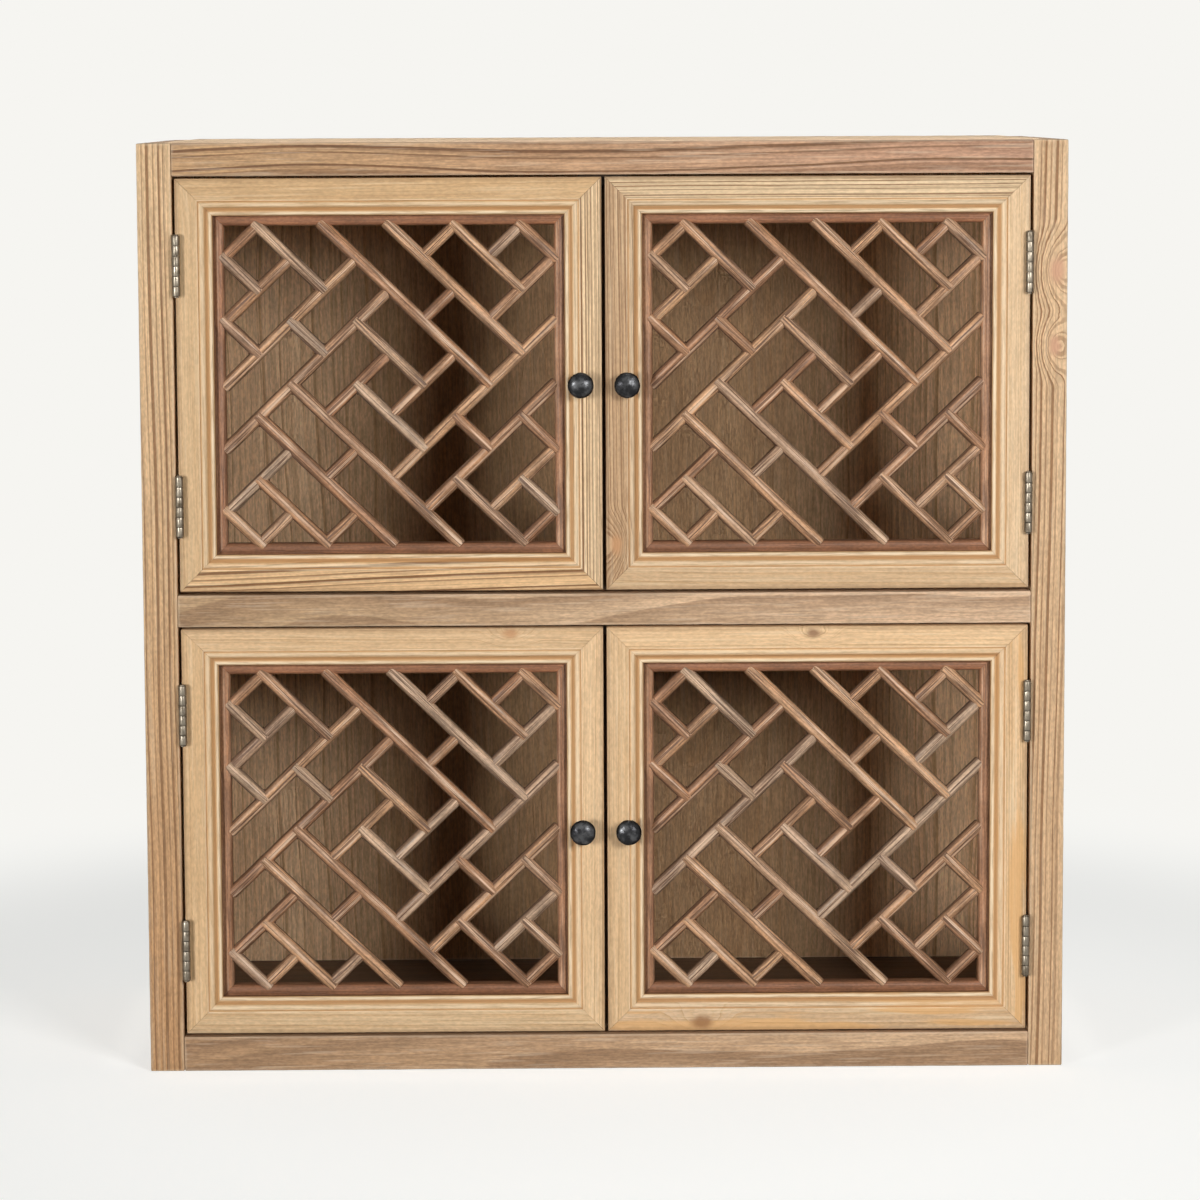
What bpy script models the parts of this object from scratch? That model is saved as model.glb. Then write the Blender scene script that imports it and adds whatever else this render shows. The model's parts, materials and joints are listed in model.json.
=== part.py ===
"""A display cabinet with four open lattice doors.

Posts and rails are joined with tenons, the panels sit in grooves and rebates, and each door is a
mitred moulded frame round a lattice of crossed rods, hung on two butt hinges.
Metres, +Z up, +X to the right, front at -Y, origin at the centre of the footprint.
"""

import math

import bmesh
import bpy
from mathutils import Matrix, Vector

# Overall size, and the gap left between pieces that touch
CABINET_WIDTH = 0.920
CABINET_DEPTH = 0.400
CABINET_HEIGHT = 0.932
CLEARANCE = 0.0003
WELD_DISTANCE = 0.000001

# Carcass: posts are square, and the rails are as deep as the posts
POST_SIZE = 0.034
TOP_RAIL_HEIGHT = 0.0325
MIDDLE_RAIL_HEIGHT = 0.032
BOTTOM_RAIL_HEIGHT = 0.035
TENON_LENGTH = 0.020
TENON_THICKNESS = 0.010
TENON_SETBACK = 0.006
TENON_WALL = 0.002

# Panels and boards
PANEL_GROOVE = 0.006
PANEL_LEDGE = 0.008
TOP_PANEL_THICKNESS = 0.014
FLOOR_THICKNESS = 0.030
SIDE_PANEL_THICKNESS = 0.012
BACK_PANEL_THICKNESS = 0.010
BACK_PANEL_INSET = 0.006
SHELF_THICKNESS = 0.015
SHELF_DADO = 0.004
DIVIDER_THICKNESS = 0.015

# Hinges: six knuckles on a pin, with the two leaves side by side in the gap beside the door
HINGE_LENGTH = 0.060
HINGE_FROM_END = 0.086
KNUCKLE_COUNT = 6
BARREL_RADIUS = 0.004
PIN_RADIUS = 0.0015
LEAF_THICKNESS = 0.001
LEAF_DEPTH = 0.018
BARREL_SIDES = 12
PIN_SIDES = 8

# Doors
DOOR_THICKNESS = 0.022
DOOR_TOP_GAP = 0.002
DOOR_BOTTOM_GAP = 0.0033
MEETING_GAP = 0.003

# Moulding on the door members, from the outer edge inwards
FLAT_BAND = 0.0205
QUIRK_WIDTH = 0.001
QUIRK_DEPTH = 0.0012
OUTER_BEAD_WIDTH = 0.0065
OUTER_BEAD_CROWN = 0.0014
OUTER_BEAD_FALL = 0.001
COVE_WIDTH = 0.003
COVE_FALL = 0.0016
INNER_BEAD_WIDTH = 0.006
INNER_BEAD_CROWN = 0.0016
INNER_BEAD_FALL = 0.0008
BEAD_STEPS = 4

# Lattice: a frame of flat strips filled with crossed rods, let into a rebate from behind
LATTICE_REBATE = 0.006
LATTICE_LIP = 0.0034
LATTICE_STRIP = 0.0105
ROD_WIDTH = 0.0115
GRID_CELLS = 10

# Knobs
KNOB_FROM_EDGE = 0.0215
KNOB_HEAD_RADIUS = 0.0128
KNOB_DOME = 0.0065
KNOB_RIM = 0.0015
KNOB_UNDERCUT = 0.004
KNOB_NECK_RADIUS = 0.0045
KNOB_NECK_LENGTH = 0.008
KNOB_COLLAR_RADIUS = 0.006
KNOB_COLLAR = 0.002
STUD_RADIUS = 0.002
STUD_LENGTH = 0.014
KNOB_STEPS = 16
DOME_STEPS = 4

# Magnetic catches, one behind each pair of doors
CATCH_LENGTH = 0.050
CATCH_DEPTH = 0.011
CATCH_HEIGHT = 0.012
CATCH_BEVEL = 0.0015

# What follows from the sizes above
FRONT = -CABINET_DEPTH / 2
REAR = CABINET_DEPTH / 2
POST_INNER_X = CABINET_WIDTH / 2 - POST_SIZE
POST_INNER_Y = CABINET_DEPTH / 2 - POST_SIZE
OPENING_HEIGHT = (CABINET_HEIGHT - TOP_RAIL_HEIGHT - MIDDLE_RAIL_HEIGHT - BOTTOM_RAIL_HEIGHT) / 2
MIDDLE_RAIL_LOW = BOTTOM_RAIL_HEIGHT + OPENING_HEIGHT
MIDDLE_RAIL_HIGH = MIDDLE_RAIL_LOW + MIDDLE_RAIL_HEIGHT
TOP_RAIL_LOW = CABINET_HEIGHT - TOP_RAIL_HEIGHT
TENON_SHOULDER = PANEL_GROOVE + TENON_WALL
SIDE_TENON_LENGTH = POST_SIZE - TENON_SETBACK - TENON_THICKNESS - TENON_WALL
SIDE_PANEL_INNER_X = CABINET_WIDTH / 2 - POST_SIZE / 2 - SIDE_PANEL_THICKNESS / 2

SIDE_GAP = 2 * LEAF_THICKNESS + 3 * CLEARANCE
AXIS_FROM_POST = BARREL_RADIUS + CLEARANCE - LEAF_THICKNESS / 4
AXIS_PROUD = BARREL_RADIUS + CLEARANCE
KNUCKLE_PITCH = HINGE_LENGTH / KNUCKLE_COUNT

DOOR_WIDTH = POST_INNER_X - SIDE_GAP - MEETING_GAP / 2
DOOR_HEIGHT = OPENING_HEIGHT - DOOR_TOP_GAP - DOOR_BOTTOM_GAP
MEMBER_WIDTH = FLAT_BAND + QUIRK_WIDTH + OUTER_BEAD_WIDTH + COVE_WIDTH + INNER_BEAD_WIDTH
LIP_FACE = QUIRK_DEPTH + OUTER_BEAD_FALL + COVE_FALL + INNER_BEAD_FALL
LATTICE_FRONT = LIP_FACE + LATTICE_LIP
LATTICE_THICKNESS = DOOR_THICKNESS - LATTICE_FRONT - CLEARANCE
LATTICE_OUTER_MARGIN = MEMBER_WIDTH - LATTICE_REBATE + CLEARANCE
LATTICE_INNER_MARGIN = MEMBER_WIDTH + LATTICE_STRIP

# Half of the rods, as grid points counted right and down from the lattice's top left corner.
# The other half is these turned half a turn about the centre.
HALF_OF_RODS = [
    # Falling to the right
    ((1, 0), (3, 2)),
    ((3, 0), (8, 5)),
    ((5, 0), (9, 4)),
    ((7, 0), (9, 2)),
    ((9, 0), (10, 1)),
    ((0, 1), (1, 2)),
    ((0, 3), (1, 4)),
    ((2, 3), (3, 4)),
    ((4, 3), (6, 5)),
    # Falling to the left
    ((1, 0), (0, 1)),
    ((2, 1), (0, 3)),
    ((4, 1), (0, 5)),
    ((5, 2), (0, 7)),
    ((7, 0), (6, 1)),
    ((9, 0), (8, 1)),
    ((10, 1), (8, 3)),
    ((7, 2), (6, 3)),
    ((5, 4), (3, 6)),
]


# Scene, collections and helpers

for old in list(bpy.data.objects):
    bpy.data.objects.remove(old, do_unlink=True)

PARTS = bpy.data.collections.new("display_cabinet")
CUTTERS = bpy.data.collections.new("display_cabinet_cutters")
CUTTERS.hide_render = True
for collection in (PARTS, CUTTERS):
    bpy.context.scene.collection.children.link(collection)


def make_finish(name, colour, roughness, metallic=0.0):
    """A plain material with the colour, roughness and metallic value of one finish."""
    material = bpy.data.materials.new(name)
    material.use_nodes = True
    shader = material.node_tree.nodes["Principled BSDF"]
    shader.inputs["Base Color"].default_value = (*colour, 1.0)
    shader.inputs["Roughness"].default_value = roughness
    shader.inputs["Metallic"].default_value = metallic
    return material


FRAME_WOOD = make_finish("frame_wood", (0.46, 0.28, 0.16), 0.65)
DOOR_WOOD = make_finish("door_wood", (0.62, 0.41, 0.22), 0.60)
LATTICE_WOOD = make_finish("lattice_wood", (0.25, 0.13, 0.075), 0.65)
PANEL_WOOD = make_finish("panel_wood", (0.25, 0.15, 0.085), 0.75)
BLACK_IRON = make_finish("black_iron", (0.03, 0.03, 0.032), 0.45, 1.0)
AGED_NICKEL = make_finish("aged_nickel", (0.42, 0.38, 0.31), 0.35, 1.0)
CATCH_BROWN = make_finish("catch_brown", (0.06, 0.035, 0.02), 0.50)


def as_part(obj, finish, carrier=None):
    """Puts an object among the parts, in its finish, carried by a door's empty if one is given."""
    PARTS.objects.link(obj)
    if not obj.data.materials:
        obj.data.materials.append(finish)
    if carrier:
        obj.parent = carrier
        obj.matrix_parent_inverse = Matrix.Translation(-carrier.location)
    return obj


def as_tool(obj):
    """Puts an object among the cutters, where it shows as wires and isn't rendered."""
    CUTTERS.objects.link(obj)
    obj.hide_render = True
    obj.display_type = "WIRE"
    return obj


def new_box(name, low, high):
    """An unlinked box between two corners, with its origin at its centre."""
    low = Vector(low)
    high = Vector(high)
    mesh = bpy.data.meshes.new(name)
    shape = bmesh.new()
    bmesh.ops.create_cube(shape, size=1.0, matrix=Matrix.Diagonal((*(high - low), 1.0)))
    shape.to_mesh(mesh)
    shape.free()
    obj = bpy.data.objects.new(name, mesh)
    obj.location = (low + high) / 2
    return obj


def new_rod(name, radius, low_z, high_z, sides):
    """An unlinked upright cylinder on the Z axis."""
    mesh = bpy.data.meshes.new(name)
    shape = bmesh.new()
    bmesh.ops.create_cone(
        shape, cap_ends=True, segments=sides, radius1=radius, radius2=radius, depth=high_z - low_z
    )
    shape.to_mesh(mesh)
    shape.free()
    obj = bpy.data.objects.new(name, mesh)
    obj.location.z = (low_z + high_z) / 2
    return obj


def apply_boolean(obj, tool, operation):
    """Joins a tool to an object or cuts it out."""
    modifier = obj.modifiers.new(tool.name, "BOOLEAN")
    modifier.operation = operation
    modifier.solver = "EXACT"
    modifier.object = tool


def let_in(name, low, high, hosts):
    """Cuts room in each host for a piece between two corners, plus the clearance."""
    grown = Vector((CLEARANCE, CLEARANCE, CLEARANCE))
    tool = as_tool(new_box(f"{name}_housing", Vector(low) - grown, Vector(high) + grown))
    for host in hosts:
        apply_boolean(host, tool, "DIFFERENCE")


def evaluated_mesh(name, obj):
    """The object's mesh with its modifiers, welded, as a mesh of its own."""
    bpy.context.view_layer.update()
    graph = bpy.context.evaluated_depsgraph_get()
    mesh = bpy.data.meshes.new_from_object(obj.evaluated_get(graph))
    mesh.name = name
    shape = bmesh.new()
    shape.from_mesh(mesh)
    bmesh.ops.remove_doubles(shape, verts=shape.verts, dist=WELD_DISTANCE)
    shape.to_mesh(mesh)
    shape.free()
    return mesh


def fused_mesh(name, pieces, bores=()):
    """One mesh of the pieces joined, less the bores. The pieces and bores are used up."""
    tools = [as_tool(obj) for obj in (*pieces, *bores)]
    base = pieces[0]
    # All the pieces are joined in one step, because many of their faces lie in one plane
    others = bpy.data.collections.new(f"{name}_pieces")
    for piece in pieces[1:]:
        others.objects.link(piece)
    union = base.modifiers.new("joined", "BOOLEAN")
    union.operation = "UNION"
    union.solver = "EXACT"
    union.operand_type = "COLLECTION"
    union.collection = others
    for bore in bores:
        apply_boolean(base, bore, "DIFFERENCE")
    mesh = evaluated_mesh(name, base)
    # The mesh is in the first piece's own frame, so it is moved to the shared one
    mesh.transform(base.matrix_world)
    for tool in tools:
        bpy.data.objects.remove(tool, do_unlink=True)
    bpy.data.collections.remove(others)
    return mesh


def smooth_rounds(mesh, angle_degrees=40):
    """Shades the round faces smooth and keeps the edges sharp."""
    mesh.shade_smooth()
    mesh.set_sharp_from_angle(angle=math.radians(angle_degrees))


# Posts

posts = {}
for side_name, side in (("left", -1), ("right", 1)):
    for end_name, end in (("front", -1), ("rear", 1)):
        outer_x = side * CABINET_WIDTH / 2
        inner_x = side * POST_INNER_X
        outer_y = end * CABINET_DEPTH / 2
        inner_y = end * POST_INNER_Y
        low = (min(outer_x, inner_x), min(outer_y, inner_y), 0.0)
        high = (max(outer_x, inner_x), max(outer_y, inner_y), CABINET_HEIGHT)
        name = f"{side_name}_{end_name}_post"
        posts[side_name, end_name] = as_part(new_box(name, low, high), FRAME_WOOD)
all_posts = list(posts.values())
rear_posts = [posts["left", "rear"], posts["right", "rear"]]


# Rails: each has a tenon at both ends, let into the posts

def add_tenon(rail, name, low, high, post):
    """Joins a tenon to a rail and cuts its mortise in the post."""
    apply_boolean(rail, as_tool(new_box(name, low, high)), "UNION")
    let_in(name, low, high, [post])


def add_front_rail(name, low_z, high_z):
    """A rail across the front, between the two front posts."""
    end_x = POST_INNER_X - CLEARANCE
    rail = new_box(name, (-end_x, FRONT, low_z), (end_x, FRONT + POST_SIZE, high_z))
    as_part(rail, FRAME_WOOD)
    tenon_y = FRONT + TENON_SETBACK
    for side_name, side in (("left", -1), ("right", 1)):
        root_x = side * (POST_INNER_X - TENON_LENGTH)
        tip_x = side * (POST_INNER_X + TENON_LENGTH)
        low = (min(root_x, tip_x), tenon_y, low_z + TENON_SHOULDER)
        high = (max(root_x, tip_x), tenon_y + TENON_THICKNESS, high_z - TENON_SHOULDER)
        add_tenon(rail, f"{name}_{side_name}_tenon", low, high, posts[side_name, "front"])
    return rail


def add_side_rail(name, side_name, side, low_z, high_z):
    """A rail along one side, between the front post and the rear post."""
    outer_x = side * CABINET_WIDTH / 2
    inner_x = side * POST_INNER_X
    middle_x = (outer_x + inner_x) / 2
    end_y = POST_INNER_Y - CLEARANCE
    low = (min(outer_x, inner_x), -end_y, low_z)
    high = (max(outer_x, inner_x), end_y, high_z)
    rail = as_part(new_box(name, low, high), FRAME_WOOD)
    for end_name, end in (("front", -1), ("rear", 1)):
        root_y = end * (POST_INNER_Y - SIDE_TENON_LENGTH)
        tip_y = end * (POST_INNER_Y + SIDE_TENON_LENGTH)
        low = (middle_x - TENON_THICKNESS / 2, min(root_y, tip_y), low_z + TENON_SHOULDER)
        high = (middle_x + TENON_THICKNESS / 2, max(root_y, tip_y), high_z - TENON_SHOULDER)
        add_tenon(rail, f"{name}_{end_name}_tenon", low, high, posts[side_name, end_name])
    return rail


bottom_rail = add_front_rail("bottom_front_rail", 0.0, BOTTOM_RAIL_HEIGHT)
middle_rail = add_front_rail("middle_front_rail", MIDDLE_RAIL_LOW, MIDDLE_RAIL_HIGH)
top_rail = add_front_rail("top_front_rail", TOP_RAIL_LOW, CABINET_HEIGHT)

bottom_rails = [bottom_rail]
top_rails = [top_rail]
side_rails = {}
for side_name, side in (("left", -1), ("right", 1)):
    low_rail = add_side_rail(f"{side_name}_bottom_rail", side_name, side, 0.0, BOTTOM_RAIL_HEIGHT)
    high_rail = add_side_rail(f"{side_name}_top_rail", side_name, side, TOP_RAIL_LOW, CABINET_HEIGHT)
    bottom_rails.append(low_rail)
    top_rails.append(high_rail)
    side_rails[side_name] = [low_rail, high_rail]


# Top and floor: boards in rebates in the rails, flush with the cabinet's top and underside

def add_flush_panel(name, low_z, high_z, rails):
    """A board between the front rail and the rear plane, with rebates in what it lies on."""
    edge_x = POST_INNER_X + PANEL_LEDGE
    low = (-edge_x, FRONT + POST_SIZE - PANEL_LEDGE, low_z)
    high = (edge_x, REAR, high_z)
    panel = as_part(new_box(name, low, high), PANEL_WOOD)
    let_in(name, low, high, rails + all_posts)
    return panel


top_panel = add_flush_panel("top_panel", CABINET_HEIGHT - TOP_PANEL_THICKNESS, CABINET_HEIGHT, top_rails)
floor_panel = add_flush_panel("floor_panel", 0.0, FLOOR_THICKNESS, bottom_rails)


# Side panels and back panel: boards in grooves in the posts and rails

side_panels = []
for side_name, side in (("left", -1), ("right", 1)):
    inner_x = side * SIDE_PANEL_INNER_X
    outer_x = side * (SIDE_PANEL_INNER_X + SIDE_PANEL_THICKNESS)
    end_y = POST_INNER_Y + PANEL_GROOVE
    low = (min(inner_x, outer_x), -end_y, BOTTOM_RAIL_HEIGHT - PANEL_GROOVE)
    high = (max(inner_x, outer_x), end_y, TOP_RAIL_LOW + PANEL_GROOVE)
    name = f"{side_name}_side_panel"
    side_panels.append(as_part(new_box(name, low, high), PANEL_WOOD))
    side_posts = [posts[side_name, "front"], posts[side_name, "rear"]]
    let_in(name, low, high, side_posts + side_rails[side_name])

back_y = REAR - BACK_PANEL_INSET - BACK_PANEL_THICKNESS
low = (-POST_INNER_X - PANEL_GROOVE, back_y, FLOOR_THICKNESS + CLEARANCE)
high = (
    POST_INNER_X + PANEL_GROOVE,
    back_y + BACK_PANEL_THICKNESS,
    CABINET_HEIGHT - TOP_PANEL_THICKNESS - CLEARANCE,
)
as_part(new_box("back_panel", low, high), PANEL_WOOD)
let_in("back_panel", low, high, rear_posts)


# Shelf: level with the underside of the middle rail, in dados in the side panels

shelf_x = SIDE_PANEL_INNER_X + SHELF_DADO
low = (-shelf_x, FRONT + POST_SIZE + CLEARANCE, MIDDLE_RAIL_LOW)
high = (shelf_x, back_y - CLEARANCE, MIDDLE_RAIL_LOW + SHELF_THICKNESS)
shelf = as_part(new_box("shelf", low, high), PANEL_WOOD)
let_in("shelf", low, high, side_panels)
for side_name, side in (("left", -1), ("right", 1)):
    # The shelf's rear corners are notched round the rear posts
    inner_x = side * POST_INNER_X
    outer_x = side * CABINET_WIDTH / 2
    low = (min(inner_x, outer_x), POST_INNER_Y, 0.0)
    high = (max(inner_x, outer_x), REAR, CABINET_HEIGHT)
    let_in(f"{side_name}_shelf_notch", low, high, [shelf])


# Divider: an upright board in dados in the floor and top, halved with the shelf where they cross

divider_x = DIVIDER_THICKNESS / 2
divider_front = FRONT + POST_SIZE + CLEARANCE
divider_rear = back_y - CLEARANCE
halving_y = (divider_front + divider_rear) / 2
low = (-divider_x, divider_front, FLOOR_THICKNESS - SHELF_DADO)
high = (divider_x, divider_rear, CABINET_HEIGHT - TOP_PANEL_THICKNESS + SHELF_DADO)
divider = as_part(new_box("divider", low, high), PANEL_WOOD)
let_in("divider", low, high, [top_panel, floor_panel])
# The divider is open to the front for the shelf, and the shelf is open to the rear for the divider
low = (-shelf_x, FRONT, MIDDLE_RAIL_LOW)
high = (shelf_x, halving_y, MIDDLE_RAIL_LOW + SHELF_THICKNESS)
let_in("divider_slot", low, high, [divider])
low = (-divider_x, halving_y, 0.0)
high = (divider_x, REAR, CABINET_HEIGHT)
let_in("shelf_slot", low, high, [shelf])


# Magnetic catches: screwed up under the front rails, just behind the doors' meeting edges

for name, rail_low in (("upper_catch", TOP_RAIL_LOW), ("lower_catch", MIDDLE_RAIL_LOW)):
    catch_y = FRONT + DOOR_THICKNESS + CLEARANCE
    catch_top = rail_low - CLEARANCE
    low = (-CATCH_LENGTH / 2, catch_y, catch_top - CATCH_HEIGHT)
    high = (CATCH_LENGTH / 2, catch_y + CATCH_DEPTH, catch_top)
    catch = as_part(new_box(name, low, high), CATCH_BROWN)
    bevel = catch.modifiers.new("eased_edges", "BEVEL")
    bevel.width = CATCH_BEVEL
    bevel.segments = 1


# Door members: one moulded section, cut to a mitre at both ends

def bead_points(start, end, crown):
    """Points along a rounded bead between two points of the section, without its start."""
    points = []
    for step in range(1, BEAD_STEPS + 1):
        share = step / BEAD_STEPS
        across = start[0] + (end[0] - start[0]) * share
        depth = start[1] + (end[1] - start[1]) * share
        points.append((across, depth - crown * math.sin(math.pi * share)))
    return points


def member_section():
    """The section of a door member: distance from the outer edge, and depth behind the face."""
    quirk = (FLAT_BAND + QUIRK_WIDTH, QUIRK_DEPTH)
    outer_end = (quirk[0] + OUTER_BEAD_WIDTH, quirk[1] + OUTER_BEAD_FALL)
    cove_end = (outer_end[0] + COVE_WIDTH, outer_end[1] + COVE_FALL)
    inner_end = (cove_end[0] + INNER_BEAD_WIDTH, cove_end[1] + INNER_BEAD_FALL)
    rebate_x = MEMBER_WIDTH - LATTICE_REBATE
    points = [(0.0, DOOR_THICKNESS), (0.0, 0.0), (FLAT_BAND, 0.0), quirk]
    points += bead_points(quirk, outer_end, OUTER_BEAD_CROWN)
    points.append(cove_end)
    points += bead_points(cove_end, inner_end, INNER_BEAD_CROWN)
    points += [(MEMBER_WIDTH, LATTICE_FRONT), (rebate_x, LATTICE_FRONT), (rebate_x, DOOR_THICKNESS)]
    return points


def outline_object(name, outlines, thickness):
    """A flat solid from closed outlines in its own X and Y, the later ones being holes in the first."""
    curve = bpy.data.curves.new(name, "CURVE")
    curve.dimensions = "2D"
    curve.fill_mode = "BOTH"
    curve.extrude = thickness / 2
    for outline in outlines:
        spline = curve.splines.new("POLY")
        spline.points.add(len(outline) - 1)
        for point, (x, y) in zip(spline.points, outline):
            point.co = (x, y, 0.0, 1.0)
        spline.use_cyclic_u = True
    return bpy.data.objects.new(name, curve)


def member_mesh(name, length):
    """A door member along Z with its outer edge on the Z axis, mitred at both ends."""
    curve_object = as_tool(outline_object(name, [member_section()], length))
    mesh = evaluated_mesh(name, curve_object)
    bpy.data.objects.remove(curve_object, do_unlink=True)
    mitre_pull = CLEARANCE / math.sqrt(2)
    for vertex in mesh.vertices:
        reach = length / 2 - vertex.co.x - mitre_pull
        vertex.co.z = math.copysign(reach, vertex.co.z)
    return mesh


# Lattice: one mesh for all four doors, centred on the door, its front at zero depth

def rectangle(width, height):
    """The corners of a rectangle centred on zero."""
    return [
        (-width / 2, -height / 2),
        (width / 2, -height / 2),
        (width / 2, height / 2),
        (-width / 2, height / 2),
    ]


def all_rods():
    """Every rod's two grid points: the listed half and the same turned half a turn."""
    turned = []
    for start, end in HALF_OF_RODS:
        turned.append(
            (
                (GRID_CELLS - start[0], GRID_CELLS - start[1]),
                (GRID_CELLS - end[0], GRID_CELLS - end[1]),
            )
        )
    return HALF_OF_RODS + turned


def lattice_mesh(name):
    """The frame and the rods, joined."""
    inner_width = DOOR_WIDTH - 2 * LATTICE_INNER_MARGIN
    inner_height = DOOR_HEIGHT - 2 * LATTICE_INNER_MARGIN
    outer_width = DOOR_WIDTH - 2 * LATTICE_OUTER_MARGIN
    outer_height = DOOR_HEIGHT - 2 * LATTICE_OUTER_MARGIN
    outlines = [rectangle(outer_width, outer_height), rectangle(inner_width, inner_height)]
    frame_curve = as_tool(outline_object(name, outlines, LATTICE_THICKNESS))
    frame = bpy.data.objects.new(name, evaluated_mesh(name, frame_curve))
    bpy.data.objects.remove(frame_curve, do_unlink=True)
    pieces = [frame]
    for start, end in all_rods():
        ends = []
        for across, down in (start, end):
            ends.append(
                Vector(
                    (
                        (across / GRID_CELLS - 0.5) * inner_width,
                        (0.5 - down / GRID_CELLS) * inner_height,
                        0.0,
                    )
                )
            )
        direction = (ends[1] - ends[0]).normalized()
        for index, (across, down) in enumerate((start, end)):
            # A rod that ends on the frame runs into it by its own width
            if across in (0, GRID_CELLS) or down in (0, GRID_CELLS):
                ends[index] += direction * (ROD_WIDTH if index else -ROD_WIDTH)
        half = Vector(((ends[1] - ends[0]).length, ROD_WIDTH, LATTICE_THICKNESS)) / 2
        rod = new_box("lattice_rod", -half, half)
        rod.location = (ends[0] + ends[1]) / 2
        rod.rotation_euler.z = math.atan2(direction.y, direction.x)
        pieces.append(rod)
    mesh = fused_mesh(name, pieces)
    # Drawn flat in X and Y, it is stood up to face the front
    mesh.transform(Matrix.Rotation(math.radians(90), 4, "X"))
    mesh.transform(Matrix.Translation((0.0, LATTICE_THICKNESS / 2, 0.0)))
    return mesh


# Hinges: the post leaf carries the pin, and the door leaf turns on it

def leaf_mesh(name, side, plate_from_post, first_knuckle, on_pin):
    """One leaf about its pin at the origin, for a door hung on the left (-1) or right (1) post."""
    post_x = side * AXIS_FROM_POST
    near_x = post_x - side * plate_from_post
    far_x = near_x - side * LEAF_THICKNESS
    low_x = min(near_x, far_x)
    high_x = max(near_x, far_x)
    plate_y = BARREL_RADIUS + 2 * CLEARANCE
    half_length = HINGE_LENGTH / 2
    plate = new_box(
        f"{name}_plate",
        (low_x, plate_y, -half_length),
        (high_x, AXIS_PROUD + LEAF_DEPTH, half_length),
    )
    pieces = [plate]
    # A tab joins the plate to each knuckle, from level with the pin
    for knuckle in range(first_knuckle, KNUCKLE_COUNT, 2):
        low_z = knuckle * KNUCKLE_PITCH - half_length + CLEARANCE / 2
        high_z = low_z + KNUCKLE_PITCH - CLEARANCE
        pieces.append(new_rod(f"{name}_knuckle", BARREL_RADIUS, low_z, high_z, BARREL_SIDES))
        tab_low = (low_x, 0.0, low_z + CLEARANCE)
        tab_high = (high_x, plate_y + LEAF_THICKNESS, high_z - CLEARANCE)
        pieces.append(new_box(f"{name}_tab", tab_low, tab_high))
    pin_half = half_length - CLEARANCE
    if on_pin:
        bore_radius = PIN_RADIUS + CLEARANCE
        bores = [new_rod(f"{name}_bore", bore_radius, -HINGE_LENGTH, HINGE_LENGTH, PIN_SIDES)]
    else:
        pieces.append(new_rod(f"{name}_pin", PIN_RADIUS, -pin_half, pin_half, PIN_SIDES))
        bores = []
    mesh = fused_mesh(name, pieces, bores)
    smooth_rounds(mesh)
    return mesh


# Knobs: turned heads on a stud that is driven into the meeting stile

def knob_profile():
    """Radius and height above the door's face, from the top of the dome down to the stud's end."""
    rim_high = KNOB_COLLAR + KNOB_NECK_LENGTH + KNOB_UNDERCUT + KNOB_RIM
    rim_low = rim_high - KNOB_RIM
    neck_high = rim_low - KNOB_UNDERCUT
    points = []
    for step in range(DOME_STEPS + 1):
        angle = math.pi / 2 * step / DOME_STEPS
        points.append((KNOB_HEAD_RADIUS * math.sin(angle), rim_high + KNOB_DOME * math.cos(angle)))
    points += [
        (KNOB_HEAD_RADIUS, rim_low),
        (KNOB_NECK_RADIUS, neck_high),
        (KNOB_NECK_RADIUS, KNOB_COLLAR),
        (KNOB_COLLAR_RADIUS, KNOB_COLLAR),
        (KNOB_COLLAR_RADIUS, CLEARANCE),
        (STUD_RADIUS, CLEARANCE),
        (STUD_RADIUS, -STUD_LENGTH),
        (0.0, -STUD_LENGTH),
    ]
    return points


def knob_mesh(name):
    """The knob about the Z axis, turned to stand out of the door's face."""
    profile = [(radius, 0.0, height) for radius, height in knob_profile()]
    edges = [(index, index + 1) for index in range(len(profile) - 1)]
    outline = bpy.data.meshes.new(name)
    outline.from_pydata(profile, edges, [])
    turned = as_tool(bpy.data.objects.new(name, outline))
    screw = turned.modifiers.new("turned", "SCREW")
    screw.axis = "Z"
    screw.steps = KNOB_STEPS
    screw.render_steps = KNOB_STEPS
    screw.use_merge_vertices = True
    screw.merge_threshold = WELD_DISTANCE
    mesh = evaluated_mesh(name, turned)
    bpy.data.objects.remove(turned, do_unlink=True)
    mesh.transform(Matrix.Rotation(math.radians(90), 4, "X"))
    smooth_rounds(mesh)
    return mesh


# Doors: each is carried by an empty on its hinge axis

stile = member_mesh("door_stile", DOOR_HEIGHT)
cross_rail = member_mesh("door_rail", DOOR_WIDTH)
lattice = lattice_mesh("door_lattice")
knob = knob_mesh("door_knob")
post_leaf_from_post = CLEARANCE
door_leaf_from_post = 2 * CLEARANCE + LEAF_THICKNESS
post_leaves = {}
door_leaves = {}
for side in (-1, 1):
    post_leaves[side] = leaf_mesh("post_leaf", side, post_leaf_from_post, 0, on_pin=False)
    door_leaves[side] = leaf_mesh("door_leaf", side, door_leaf_from_post, 1, on_pin=True)

DOOR_ROWS = {
    "lower": BOTTOM_RAIL_HEIGHT + DOOR_BOTTOM_GAP,
    "upper": MIDDLE_RAIL_HIGH + DOOR_BOTTOM_GAP,
}


def add_member(name, mesh, place, turn_degrees, carrier):
    """A door member at the middle of its outer edge, turned about the depth axis."""
    obj = bpy.data.objects.new(name, mesh)
    obj.location = place
    obj.rotation_euler.y = math.radians(turn_degrees)
    return as_part(obj, DOOR_WOOD, carrier)


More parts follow.
